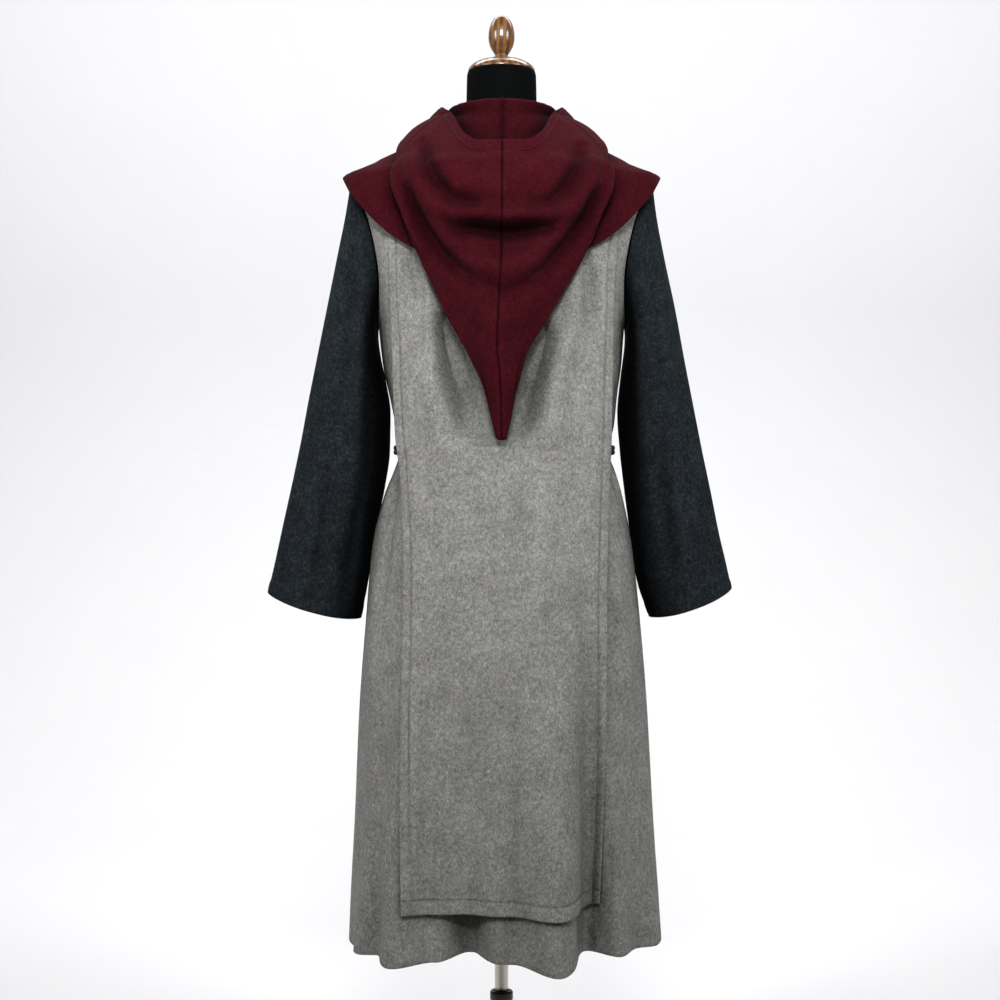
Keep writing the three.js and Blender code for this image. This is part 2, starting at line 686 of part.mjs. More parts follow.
// Both halves sway the same way, so the sway is added after a half is mirrored.
function hoodPoint(heading, row, side) {
  const { x: radius, y: z } = hoodProfile(heading)[THREE.MathUtils.clamp(row, 0, HOOD_ROWS)];
  const behind = Math.sin(heading) > 0;
  const sway = behind ? hoodSway(THREE.MathUtils.clamp(z, 1123, 1594)).x : 0;
  return new THREE.Vector3(side * radius * Math.cos(heading) + sway, radius * Math.sin(heading), z);
}

function hoodHalf(side) {
  const turn = 0.004;
  const line = (row, column) => {
    const heading = CAPE_HEADINGS[column];
    const round = hoodPoint(heading + turn, row, side).sub(hoodPoint(heading - turn, row, side));
    const along = hoodPoint(heading, row + 1, side).sub(hoodPoint(heading, row - 1, side));
    const normal = round.cross(along).normalize();
    const point = hoodPoint(heading, row, side);
    point.x += side * SEAM / 2;
    return [-WOOL / 2, WOOL / 2].map((reach) => point.clone().addScaledVector(normal, reach));
  };
  return clothWall({ rows: HOOD_ROWS, columns: CAPE_HEADINGS.length - 1, line });
}

add('hood_left', hoodHalf(1), burgundyWool);
add('hood_right', hoodHalf(-1), burgundyWool);

// ---------------------------------------------------------------------------
// Dress form: torso, wooden neck cap, finial and the board under the torso
// ---------------------------------------------------------------------------
const formSection = smoothTable(['z', 'half', 'back', 'front', 'square'], [
  [FORM_NECK_Z, 55.6, 55.6, 55.6, 2.0],
  [1728, 57, 57, 57, 2.0],
  [1665, 58.5, 58.5, 58, 2.0],
  [1652, 60, 60, 58, 2.0],
  [1646, 66, 62, 58, 2.0],
  [1640, 80, 66, 60, 2.0],
  [1622, 117.5, 75, 64, 2.0],
  [1598, 167, 86, 71, 2.0],
  [1580, 198, 93, 77, 2.05],
  [1566, 203, 99, 82, 2.1],
  [1540, 200, 108, 91, 2.2],
  [1500, 194, 118, 101, 2.3],
  [1450, 184, 126, 111, 2.4],
  [1400, 176, 129, 116, 2.4],
  [1350, 170, 126, 112, 2.4],
  [1312, 166, 122, 110, 2.4],
  [1250, 155, 112, 100, 2.3],
  [1190, 143, 100, 92, 2.3],
  [WAIST_Z, 136, 93, 87, 2.3],
  [1060, 143, 98, 90, 2.3],
  [1000, 158, 110, 97, 2.3],
  [940, 167, 118, 102, 2.3],
  [880, 168, 118, 101, 2.3],
  [FORM_BASE_Z, 165, 114, 98, 2.3],
]);
const FORM_HEIGHTS = [
  FORM_BASE_Z, 900, 960, 1020, WAIST_Z, 1190, 1270, 1350, 1420, 1480, 1530,
  1566, 1580, 1598, 1622, 1640, 1646, 1652, 1665, 1728, FORM_NECK_Z,
];
add('form_torso', filledBody(formSection, FORM_HEIGHTS, 28), blackJersey);

function boardSection() {
  const edge = formSection(FORM_BASE_Z);
  return { ...edge, half: edge.half - 4, back: edge.back - 4, front: edge.front - 4 };
}

const BOARD_TOP_Z = FORM_BASE_Z - SEAM;
const BOARD_BOTTOM_Z = BOARD_TOP_Z - BOARD_THICKNESS;
add('form_board', filledBody(boardSection, [BOARD_BOTTOM_Z, BOARD_TOP_Z], 28), wood);

// A turned piece from (radius, height) points, standing on +Z.
function turned(points, segments) {
  const profile = points.map(([radius, height]) => new THREE.Vector2(radius, height));
  return new THREE.LatheGeometry(profile, segments).rotateX(Math.PI / 2);
}

const CAP_PROFILE = [[0, 0], [55.3, 0], [55, 3], [45, 13], [30, 18.5], [18, 20.5], [0, 20.5]];
add('form_cap', turned(CAP_PROFILE, 24), wood).position.z = FORM_NECK_Z + SEAM;

const FINIAL_PROFILE = [
  [0, 0], [17, 0], [12, 3.5], [10.5, 5], [12, 9], [14.4, 12.5], [19.4, 22],
  [21.6, 34], [21.7, 39], [20, 52], [16, 62], [9, 69.5], [0, 72],
];
const FINIAL_Z = FORM_NECK_Z + SEAM + CAP_PROFILE[6][1] + SEAM;
add('form_finial', turned(FINIAL_PROFILE, 16), wood).position.z = FINIAL_Z;

// ---------------------------------------------------------------------------
// Stand: grooved pole with its socket, and the tube, bush and plate it slides in
// ---------------------------------------------------------------------------
// Outline of the pole, or of the bush's bore round it, with the groove facing back.
function grooved(path, radius, grooveWidth, grooveRadius) {
  const half = Math.asin(grooveWidth / 2 / radius);
  path.absarc(0, 0, radius, Math.PI / 2 + half, Math.PI / 2 - half + 2 * Math.PI, false);
  path.lineTo(grooveWidth / 2, grooveRadius);
  path.lineTo(-grooveWidth / 2, grooveRadius);
  path.closePath();
  return path;
}

function extruded(shape, height) {
  return new THREE.ExtrudeGeometry(shape, { depth: height, bevelEnabled: false, curveSegments: 10 });
}

function washer(outer, inner) {
  const shape = new THREE.Shape().absarc(0, 0, outer, 0, 2 * Math.PI, false);
  shape.holes.push(inner);
  return shape;
}

const grooveFloor = POLE_RADIUS - GROOVE_DEPTH;
const poleShape = grooved(new THREE.Shape(), POLE_RADIUS, GROOVE_WIDTH, grooveFloor);
const bore = grooved(
  new THREE.Path(),
  POLE_RADIUS + RUNNING_GAP,
  GROOVE_WIDTH - 2 * RUNNING_GAP,
  grooveFloor + RUNNING_GAP,
);
const plainBore = (radius) => new THREE.Path().absarc(0, 0, radius, 0, 2 * Math.PI, false);

const poleTopZ = BOARD_BOTTOM_Z - SEAM;
add('pole', extruded(poleShape, poleTopZ - POLE_FOOT_Z), nickel).position.z = POLE_FOOT_Z;

const socketShape = washer(SOCKET_RADIUS, plainBore(POLE_RADIUS + SEAM));
add('pole_socket', extruded(socketShape, SOCKET_HEIGHT), darkPlastic).position.z = poleTopZ - SOCKET_HEIGHT;

const bushFootZ = BUSH_TOP_Z - BUSH_HEIGHT;
add('bush', extruded(washer(TUBE_RADIUS, bore), BUSH_HEIGHT), darkPlastic).position.z = bushFootZ;

const tubeFootZ = PLATE_THICKNESS + SEAM;
const tubeShape = washer(TUBE_RADIUS, plainBore(TUBE_RADIUS - TUBE_WALL));
add('outer_tube', extruded(tubeShape, bushFootZ - SEAM - tubeFootZ), nickel).position.z = tubeFootZ;

const PLATE_PROFILE = [
  [0, 0], [PLATE_RADIUS, 0], [PLATE_RADIUS, 6], [PLATE_RADIUS - 4, PLATE_THICKNESS], [0, PLATE_THICKNESS],
];
add('base_plate', turned(PLATE_PROFILE, 36), nickel);

export default group;
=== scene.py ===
import bpy
import bmesh
import numpy as np
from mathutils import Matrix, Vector


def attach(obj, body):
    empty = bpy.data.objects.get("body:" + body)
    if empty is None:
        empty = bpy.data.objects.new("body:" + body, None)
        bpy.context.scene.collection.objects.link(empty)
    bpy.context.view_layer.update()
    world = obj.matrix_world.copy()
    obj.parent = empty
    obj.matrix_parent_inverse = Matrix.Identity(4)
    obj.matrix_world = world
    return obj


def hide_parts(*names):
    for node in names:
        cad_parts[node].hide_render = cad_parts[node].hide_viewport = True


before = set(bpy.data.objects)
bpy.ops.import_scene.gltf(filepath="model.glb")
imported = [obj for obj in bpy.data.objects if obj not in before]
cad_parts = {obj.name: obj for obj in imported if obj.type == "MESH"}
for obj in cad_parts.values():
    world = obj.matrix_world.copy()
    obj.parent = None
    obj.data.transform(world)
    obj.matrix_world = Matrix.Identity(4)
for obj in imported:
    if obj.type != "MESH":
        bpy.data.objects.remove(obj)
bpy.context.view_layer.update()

# ---------------------------------------------------------------------------
# Tunic. A heavy heathered wool gown, a back and a front panel sewn at the
# shoulders and sides, with cut armholes and an open hem. It hangs from the
# shoulders, is drawn in under the belt and falls below it in deep uneven folds.
# ---------------------------------------------------------------------------
MM = 0.001
WOOL = 2.0  # wall of every cloth panel
LAY = 1.85  # air under a panel that lies on another
SEAM_HALF = 0.15  # half the gap between two pieces that are sewn together
NECK_BACK_Z = 1646
NECK_FRONT_DROP = 46
HEM_DIP = 0.15  # how far a fold's hem drops, per mm of fold


# A smooth line through (place, value) pairs that never overshoots them.
def smooth_curve(places, values):
    slopes = np.diff(values) / np.diff(places)
    before = np.concatenate([slopes[:1], slopes])
    after = np.concatenate([slopes, slopes[-1:]])
    same_way = before * after > 0
    total = np.where(same_way, before + after, 1.0)
    tangents = np.where(same_way, 2 * before * after / total, 0.0)

    def at(x):
        x = np.asarray(x, float)
        k = np.clip(np.searchsorted(places, x, side="right") - 1, 0, len(slopes) - 1)
        span = places[k + 1] - places[k]
        t = np.clip((x - places[k]) / span, 0, 1)
        rise = t * t * (3 - 2 * t)
        bend = tangents[k] * t * (1 - t) ** 2 - tangents[k + 1] * t * t * (1 - t)
        inside = values[k] + (values[k + 1] - values[k]) * rise + span * bend
        below = tangents[0] * np.minimum(x - places[0], 0)
        above = tangents[-1] * np.maximum(x - places[-1], 0)
        return inside + below + above

    return at


# Rows of numbers under named columns; the first column is what they're looked up by.
def smooth_table(names, rows):
    ordered = np.array(sorted(rows), float)
    curves = [smooth_curve(ordered[:, 0], ordered[:, k]) for k in range(1, ordered.shape[1])]
    return lambda at: {name: curve(at) for name, curve in zip(names.split()[1:], curves)}


def signed_power(value, power):
    return np.sign(value) * np.abs(value) ** power


def smooth_step(low, high, value):
    t = np.clip((value - low) / (high - low), 0, 1)
    return t * t * (3 - 2 * t)


# A point of a rounded section. Angle 0 is the wearer's left, a quarter turn the back.
def ring_point(section, angle, z):
    power = 2 / section["square"]
    sine = np.sin(angle)
    depth = np.where(sine < 0, section["front"], section["back"])
    x = section.get("shift", 0) + section["half"] * signed_power(np.cos(angle), power)
    y = depth * signed_power(sine, power)
    return np.stack(np.broadcast_arrays(x, y, z), -1).astype(float)


def ring_outward(section, angle):
    power = 2 - 2 / section["square"]
    sine = np.sin(angle)
    depth = np.where(sine < 0, section["front"], section["back"])
    x = signed_power(np.cos(angle), power) / section["half"]
    y = signed_power(sine, power) / depth
    length = np.hypot(x, y)
    return np.stack([x / length, y / length, np.zeros_like(x + y)], -1)


SHOULDERS = [
    (1646, 75, 68, 62, 2.0, 0), (1617, 124, 80, 69, 2.0, 0), (1593, 173, 91, 76, 2.0, 0),
    (1575, 210, 98, 84, 2.05, 0), (1562, 236, 104, 88, 2.1, 0), (1553, 246, 109, 93, 2.15, 0),
    (1540, 249, 113, 97, 2.2, 0), (1500, 238, 123, 106, 2.3, 0), (1450, 226, 131, 116, 2.4, 0),
]
tunic_section = smooth_table("z half back front square shift", SHOULDERS + [
    (1400, 213, 134, 121, 2.5, 0), (1350, 206, 132, 120, 2.5, 0), (1312, 202, 129, 118, 2.5, 0),
    (1250, 196, 122, 114, 2.5, -1), (1190, 185, 114, 108, 2.4, -3), (1145, 178, 109, 103, 2.3, -5),
    (1123, 174.5, 107, 101, 2.3, -4.5), (1101, 174.5, 107, 101, 2.3, -4.5),
    (1080, 181, 110, 104, 2.3, -5), (1040, 195, 120, 114, 2.3, -3), (960, 213, 136, 130, 2.2, -1),
    (850, 224, 152, 146, 2.2, -2), (700, 236, 165, 158, 2.2, -2.5), (500, 246, 178, 170, 2.2, -4),
    (386, 253, 182, 176, 2.2, -5), (311, 257, 186, 180, 2.2, -6),
])
# Deep skirt folds: degrees round, mm out (or in) at the hem, half width in degrees,
# height where the fold begins, share that the scapular over it follows.
SKIRT_FOLDS = [
    (30, 15, 12, 800, 1), (53, 40, 14, 980, 1), (78, -48, 11, 930, 0.35), (104.5, 57, 13, 960, 1),
    (122, -40, 12, 1040, 1), (148, -16, 16, 1000, 1), (-35, 30, 14, 900, 1), (-62, -45, 13, 940, 0.35),
    (-85, 55, 14, 900, 1), (-112, -44, 13, 960, 0.35), (-140, 38, 14, 920, 1),
]
WAIST_Z = 1112
HEM_Z = 311
ARMHOLE_Z = 1431
ARMHOLE_HALF_HEIGHT = 119
ARMHOLE_HALF_DEPTH = 66
ARMHOLE_TOP_Z = ARMHOLE_Z + ARMHOLE_HALF_HEIGHT
ARMHOLE_FOOT_Z = ARMHOLE_Z - ARMHOLE_HALF_HEIGHT


def fold_push(angle, z, followed=False):
    degrees = np.degrees(np.arctan2(np.sin(angle), np.cos(angle)))
    push = np.zeros(np.broadcast(angle, z).shape)
    for at, out, spread, top, share in SKIRT_FOLDS:
        away = np.minimum(np.abs(degrees - at) / spread, 1)
        growth = (np.maximum(top - z, 0) / (top - HEM_Z)) ** 1.4
        push += (share if followed else 1) * out * growth * (1 + np.cos(np.pi * away)) / 2
    return push


# How far the cloth stands out (+) or in (-) at places (x, z) from listed folds.
# Each fold is a line of (x, z) places, its depth, and its half width at both ends.
def laid_folds(folds, x, z):
    push = np.zeros_like(x)
    for line, depth, widths in folds:
        line = np.array(line, float)
        steps = np.diff(line, axis=0)
        lengths = np.hypot(*steps.T)
        starts = np.concatenate([[0], np.cumsum(lengths)])
        nearest = np.full(x.shape, np.inf)
        along = np.zeros_like(x)
        for k, step in enumerate(steps):
            t = ((x - line[k, 0]) * step[0] + (z - line[k, 1]) * step[1]) / lengths[k] ** 2
            t = np.clip(t, 0, 1)
            away = np.hypot(x - line[k, 0] - t * step[0], z - line[k, 1] - t * step[1])
            closer = away < nearest
            nearest = np.where(closer, away, nearest)
            along = np.where(closer, (starts[k] + t * lengths[k]) / starts[-1], along)
        width = widths[0] + (widths[1] - widths[0]) * along
        push += depth * np.exp(-(nearest / width) ** 2) * np.sqrt(np.clip(4 * along * (1 - along), 0, 1))
    return push


# The slight unevenness of thick cloth hanging free.
def hanging_drift(x, z):
    slow = np.sin(x / 31 + 0.9 * np.sin(z / 170) + 0.6) * np.sin(z / 240 + 1.1)
    quick = np.sin(x / 17 + 1.3 * np.sin(z / 110 + 2)) * np.sin(z / 95 + x / 90)
    return 0.9 * slow + 0.45 * quick


def grid_normals(grid, loop=False):
    across = np.roll(grid, -1, 1) - np.roll(grid, 1, 1)
    if not loop:
        across = np.gradient(grid, axis=1)
    normals = np.cross(np.gradient(grid, axis=0), across)
    return normals / np.maximum(np.linalg.norm(normals, axis=-1, keepdims=True), 1e-9)


# A wall of cloth from the grid of its outer face (rows x columns, mm): an inner face
# one thickness in, and a rounded edge between the two. Its UV is the flat cloth in metres.
def cloth_wall(name, outer, material, thickness=WOOL, way=1, loop=False):
    rows, columns = outer.shape[:2]
    normals = way * grid_normals(outer, loop)
    inner = outer - thickness * normals
    run_out = np.gradient(outer, axis=0)
    side_out = np.gradient(outer, axis=1)
    place = np.arange(rows * columns).reshape(rows, columns)
    if loop:
        edges = [place[0], place[-1]]
    else:
        edges = [np.concatenate([place[0], place[1:, -1], place[-1, -2::-1], place[-2:0:-1, 0]])]
    out_ways = np.zeros_like(outer)
    out_ways[0] -= run_out[0]
    out_ways[-1] += run_out[-1]
    if not loop:
        out_ways[:, 0] -= side_out[:, 0]
        out_ways[:, -1] += side_out[:, -1]
    out_ways /= np.maximum(np.linalg.norm(out_ways, axis=-1, keepdims=True), 1e-9)
    middle = (outer + inner) / 2 + 0.42 * thickness * out_ways

    closed = np.concatenate([outer, outer[:, :1]], 1) if loop else outer
    step_u = np.linalg.norm(np.diff(closed, axis=1), axis=-1)
    u = np.concatenate([np.zeros((rows, 1)), np.cumsum(step_u, 1)], 1)
    if not loop:
        u -= u[:, columns // 2, None]
    step_v = np.linalg.norm(np.diff(closed, axis=0), axis=-1)
    v = np.concatenate([np.zeros((1, closed.shape[1])), -np.cumsum(step_v, 0)], 0)
    uv_table = np.stack([u, v], -1).reshape(-1, 2) * MM
    uv_width = closed.shape[1]

    faces_round = columns if loop else columns - 1
    row = np.repeat(np.arange(rows - 1), faces_round)
    column = np.tile(np.arange(faces_round), rows - 1)
    beside = (column + 1) % columns
    corners = ((row, column), (row + 1, column), (row + 1, beside), (row, beside))
    quads = np.stack([place[corner] for corner in corners], 1)
    corner = row * uv_width + column
    uv_quads = np.stack([corner, corner + uv_width, corner + uv_width + 1, corner + 1], 1)
    total = rows * columns
    faces = [quads, quads[:, ::-1] + total]
    uvs = [uv_quads, uv_quads[:, ::-1]]
    rims = []
    first = 2 * total
    for edge in edges:
        count = len(edge)
        ring = first + np.arange(count)
        after = np.roll(np.arange(count), -1)
        faces.append(np.stack([edge, edge[after], ring[after], ring], 1))
        faces.append(np.stack([ring, ring[after], edge[after] + total, edge + total], 1))
        edge_uv = edge // columns * uv_width + edge % columns
        beside_uv = edge_uv[after]
        if loop:
            beside_uv = np.where(after == 0, edge_uv + 1, beside_uv)
        uvs += [np.stack([edge_uv, beside_uv, beside_uv, edge_uv], 1)] * 2
        rims.append(middle.reshape(-1, 3)[edge])
        first += count
    points = np.concatenate([outer.reshape(-1, 3), inner.reshape(-1, 3)] + rims) * MM
    faces = np.concatenate(faces)
    uvs = uv_table[np.concatenate(uvs).ravel()]

    mesh = bpy.data.meshes.new(name)
    mesh.from_pydata(points.tolist(), [], faces.tolist())
    mesh.uv_layers.new(name="flat_cloth").data.foreach_set("uv", uvs.ravel())
    face_outwards(mesh)
    mesh.materials.append(material)
    return place_piece(name, mesh)


# Turns the faces of a closed mesh outwards and shades them smooth.
def face_outwards(mesh):
    body = bmesh.new()
    body.from_mesh(mesh)
    bmesh.ops.recalc_face_normals(body, faces=body.faces)
    body.to_mesh(mesh)
    body.free()
    mesh.polygons.foreach_set("use_smooth", np.ones(len(mesh.polygons), bool))


def place_piece(name, data):
    piece = bpy.data.objects.new(name, data)
    bpy.context.scene.collection.objects.link(piece)
    return piece


# The finished piece takes over from its plain CAD node and moves with that node's body.
def takes_over(piece, node, body="form"):
    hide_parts(node)
    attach(piece, body)


def new_material(name):
    material = bpy.data.materials.new(name)
    material.use_nodes = True
    tree = material.node_tree
    tree.nodes.clear()
    shader = tree.nodes.new("ShaderNodeBsdfPrincipled")
    output = tree.nodes.new("ShaderNodeOutputMaterial")
    tree.links.new(shader.outputs["BSDF"], output.inputs["Surface"])
    return material, tree, shader


def noise_node(tree, vector, scale, detail=2.0, roughness=0.5):
    noise = tree.nodes.new("ShaderNodeTexNoise")
    noise.inputs["Scale"].default_value = scale
    noise.inputs["Detail"].default_value = detail
    noise.inputs["Roughness"].default_value = roughness
    tree.links.new(vector, noise.inputs["Vector"])
    return noise.outputs["Fac"]


def math_node(tree, operation, a, b):
    node = tree.nodes.new("ShaderNodeMath")
    node.operation = operation
    for socket, value in zip(node.inputs, (a, b)):
        if isinstance(value, (int, float)):
            socket.default_value = value
        else:
            tree.links.new(value, socket)
    return node.outputs[0]


def mapped(tree, vector, scale, turn=(0, 0, 0)):
    node = tree.nodes.new("ShaderNodeMapping")
    node.inputs["Scale"].default_value = scale
    node.inputs["Rotation"].default_value = turn
    tree.links.new(vector, node.inputs["Vector"])
    return node.outputs["Vector"]


def ramp_node(tree, fac, stops):
    ramp = tree.nodes.new("ShaderNodeValToRGB")
    while len(ramp.color_ramp.elements) < len(stops):
        ramp.color_ramp.elements.new(0.5)
    for element, (place, color) in zip(ramp.color_ramp.elements, stops):
        element.position = place
        element.color = (*color, 1)
    tree.links.new(fac, ramp.inputs["Fac"])
    return ramp.outputs["Color"]


def bump_node(tree, height, distance, strength, under=None):
    bump = tree.nodes.new("ShaderNodeBump")
    bump.inputs["Distance"].default_value = distance
    bump.inputs["Strength"].default_value = strength
    tree.links.new(height, bump.inputs["Height"])
    if under is not None:
        tree.links.new(under, bump.inputs["Normal"])
    return bump.outputs["Normal"]


# Milled wool: light and dark fibres mixed in the yarn, a felted nap, and a fine
# twill that only shows close to. Painted shade: the base colour is darkened in creases,
# hollows and between layers where other cloth is near, and more so with depth.
def wool(name, dark, middle, light, contrast, sheen, shade_reach, depth):
    material, tree, shader = new_material(name)
    place = tree.nodes.new("ShaderNodeTexCoord")
    solid, flat = place.outputs["Object"], place.outputs["UV"]
    fibres = noise_node(tree, mapped(tree, solid, (1, 1, 0.62)), 430, 3, 0.72)
    tufts = noise_node(tree, solid, 150, 2, 0.6)
    clouds = noise_node(tree, solid, 26, 2, 0.5)
    mix = 0.0
    for grain, share in ((fibres, 1.25), (tufts, 0.6), (clouds, 0.3)):
        uneven = math_node(tree, "MULTIPLY", math_node(tree, "SUBTRACT", grain, 0.5), share)
        mix = math_node(tree, "ADD", uneven, mix)
    mix = math_node(tree, "ADD", math_node(tree, "MULTIPLY", mix, contrast), 0.5)
    color = ramp_node(tree, mix, [(0.22, dark), (0.5, middle), (0.8, light)])
    # Painted shade: ambient occlusion darkens the base colour wherever cloth is near other cloth.
    hollow = tree.nodes.new("ShaderNodeAmbientOcclusion")
    hollow.samples = 8
    hollow.inputs["Distance"].default_value = shade_reach
    painted_shade_color = tree.nodes.new("ShaderNodeVectorMath")
    painted_shade_color.operation = "SCALE"
    tree.links.new(color, painted_shade_color.inputs[0])
    tree.links.new(math_node(tree, "POWER", hollow.outputs["AO"], depth), painted_shade_color.inputs["Scale"])
    tree.links.new(painted_shade_color.outputs["Vector"], shader.inputs["Base Color"])
    twill = tree.nodes.new("ShaderNodeTexWave")
    twill.inputs["Scale"].default_value = 1.0
    twill.inputs["Distortion"].default_value = 1.2
    twill.inputs["Detail"].default_value = 1.0
    tree.links.new(mapped(tree, flat, (210, 210, 210), (0, 0, 1.1)), twill.inputs["Vector"])
    nap = noise_node(tree, solid, 900, 3, 0.7)
    height = math_node(tree, "ADD", math_node(tree, "MULTIPLY", twill.outputs["Fac"], 0.35), nap)
    fine = bump_node(tree, height, 0.0006, 0.5)
    soft = bump_node(tree, noise_node(tree, solid, 70, 2, 0.5), 0.0022, 0.35, fine)
    tree.links.new(soft, shader.inputs["Normal"])
    shader.inputs["Roughness"].default_value = 0.94
    shader.inputs["Specular IOR Level"].default_value = 0.03
    shader.inputs["Sheen Weight"].default_value = sheen
    shader.inputs["Sheen Roughness"].default_value = 0.45
    return material


# Painted shade darkens its creases and the cloth under the hood and scapular edges (reach and depth below).
gray_wool = wool(
    "gray_wool", (0.085, 0.083, 0.077), (0.190, 0.187, 0.176), (0.345, 0.345, 0.326),
    contrast=0.8, sheen=0.03, shade_reach=0.07, depth=1.25,
)

TUNIC_BACK_FOLDS = [
    ([(216, 1503), (213, 1459), (203, 1415)], -5, (7, 5)),
    ([(-216, 1505), (-212, 1455), (-204, 1412)], -5, (6, 6)),
    ([(199, 1400), (196, 1330), (190, 1255), (184, 1190)], -3, (6, 9)),
    ([(-200, 1395), (-195, 1310), (-187, 1235)], -3, (7, 8)),
    ([(170, 1068), (184, 969), (194, 883), (194, 838)], -8, (9, 11)),
    ([(205, 900), (207, 760), (196, 640)], 5, (12, 14)),
    ([(184, 600), (185, 500), (184, 398)], 5, (9, 10)),
    ([(222, 640), (226, 480), (228, 340)], -4, (10, 14)),
    ([(-170, 940), (-173, 800), (-175, 560), (-172, 400)], -6, (9, 11)),
    ([(-180, 933), (-200, 765), (-213, 678)], 6, (10, 12)),
    ([(-216, 560), (-220, 440), (-214, 340)], 4, (12, 12)),
    ([(45, 352), (42, 315)], -4, (5, 5)),
    ([(24, 350), (27, 318)], -3, (4, 5)),
    ([(-150, 360), (-153, 315)], 3, (6, 7)),
]
TUNIC_FRONT_FOLDS = [
    ([(214, 1500), (211, 1450), (203, 1408)], -4, (7, 5)),
    ([(-213, 1498), (-210, 1452), (-202, 1405)], -5, (6, 6)),
    ([(198, 1392), (192, 1310), (186, 1230)], -3, (7, 8)),
    ([(-199, 1398), (-194, 1322), (-188, 1216)], -4, (6, 9)),
    ([(178, 1050), (190, 950), (200, 850)], -7, (9, 12)),
    ([(-176, 1060), (-186, 960), (-196, 870), (-198, 790)], -6, (8, 12)),
    ([(208, 820), (214, 640), (216, 480)], 5, (11, 13)),
    ([(-206, 800), (-214, 610), (-220, 450)], 6, (10, 14)),
    ([(-60, 362), (-66, 318)], -3, (5, 6)),
    ([(92, 356), (96, 314)], -4, (6, 5)),
]
# The scapular's own folds. Those that go in press into the tunic under it too.
SCAPULAR_BACK_FOLDS = [
    ([(146, 1440), (136, 1385), (124, 1328)], -8, (9, 11)),
    ([(163, 1425), (161, 1360), (154, 1290)], 4, (8, 9)),
    ([(122, 1380), (108, 1300), (102, 1235)], 9, (14, 17)),
    ([(90, 1330), (74, 1255), (60, 1195), (42, 1125)], -30, (19, 30)),
    ([(116, 1260), (104, 1180), (92, 1110), (94, 1040)], 10, (19, 23)),
    ([(-68, 1315), (-52, 1250), (-38, 1190), (-22, 1130)], -28, (18, 25)),
    ([(-96, 1310), (-88, 1200), (-76, 1110)], 10, (18, 20)),
    ([(-135, 1425), (-139, 1360), (-140, 1290)], -9, (9, 11)),
    ([(-158, 1410), (-160, 1330), (-155, 1230)], 4, (8, 9)),
    ([(-112, 1420), (-111, 1330), (-102, 1230)], 7, (12, 14)),
    ([(-27, 1090), (-27, 1010), (-31, 955)], -3.6, (8, 9)),
    ([(-28, 1020), (-38, 940), (-36, 860)], -2.5, (16, 20)),
    ([(4, 1080), (0, 980), (6, 880)], 5, (17, 20)),
    ([(-104, 960), (-115, 800), (-109, 590), (-106, 410)], 6, (16, 20)),
    ([(-76, 870), (-79, 760), (-72, 640)], -9, (16, 18)),
    ([(132, 1110), (136, 1060), (129, 990)], 5, (12, 14)),
    ([(100, 960), (106, 770), (95, 540)], -6, (18, 24)),
    ([(54, 930), (43, 770), (52, 600)], 6, (22, 26)),
    ([(10, 790), (3, 630), (14, 470)], -5, (20, 22)),
    ([(-40, 660), (-31, 520), (-38, 392)], 6, (16, 18)),
    ([(140, 780), (137, 570), (141, 395)], 4, (9, 11)),
]
SCAPULAR_FRONT_FOLDS = [
    ([(140, 1420), (131, 1370), (120, 1300)], -4, (10, 13)),
    ([(-128, 1415), (-136, 1345), (-131, 1280)], -4, (9, 12)),
    ([(84, 1390), (80, 1290), (92, 1200)], 4, (14, 17)),
    ([(-70, 1380), (-84, 1270), (-76, 1160)], 4, (16, 15)),
    ([(12, 1350), (4, 1230), (16, 1120)], -3, (14, 18)),
    ([(36, 1080), (30, 1000), (41, 930)], -3, (7, 9)),
    ([(-98, 1040), (-106, 900), (-97, 700)], 4.5, (14, 17)),
    ([(102, 950), (110, 790), (101, 610), (106, 450)], 4.5, (15, 16)),
    ([(60, 830), (66, 700), (58, 570)], -3.5, (14, 18)),
    ([(-45, 880), (-38, 740), (-47, 600)], -3, (15, 19)),
    ([(-12, 690), (-18, 560), (-9, 430)], 2.4, (16, 18)),
    ([(-140, 700), (-137, 540), (-142, 410)], 2.2, (9, 10)),
]


# The belt gathers the tunic: short uneven creases that fade above and below it.
def waist_gathers(angle, z):
    away = np.abs(z - WAIST_Z)
    held = smooth_step(11, 42, away) * (1 - smooth_step(55, 135, away))
    wave = np.sin(19 * angle + 1.7 * np.sin(3 * angle) + np.where(z > WAIST_Z, 0.0, 1.4))
    wave += 0.6 * np.sin(31 * angle + 2.1 * np.sin(2 * angle + 1) + z / 60)
    return 1.9 * held * wave


def armhole_angle(z, side):
    rise = np.clip((z - ARMHOLE_Z) / ARMHOLE_HALF_HEIGHT, -1, 1)
    section = tunic_section(z)
    depth = section["back"] if side > 0 else section["front"]
    y = ARMHOLE_HALF_DEPTH * np.sqrt(1 - rise * rise)
    return np.arcsin((y / depth) ** (section["square"] / 2))


def neckline_z(angle):
    return NECK_BACK_Z - NECK_FRONT_DROP * np.maximum(0, -np.sin(angle)) ** 2


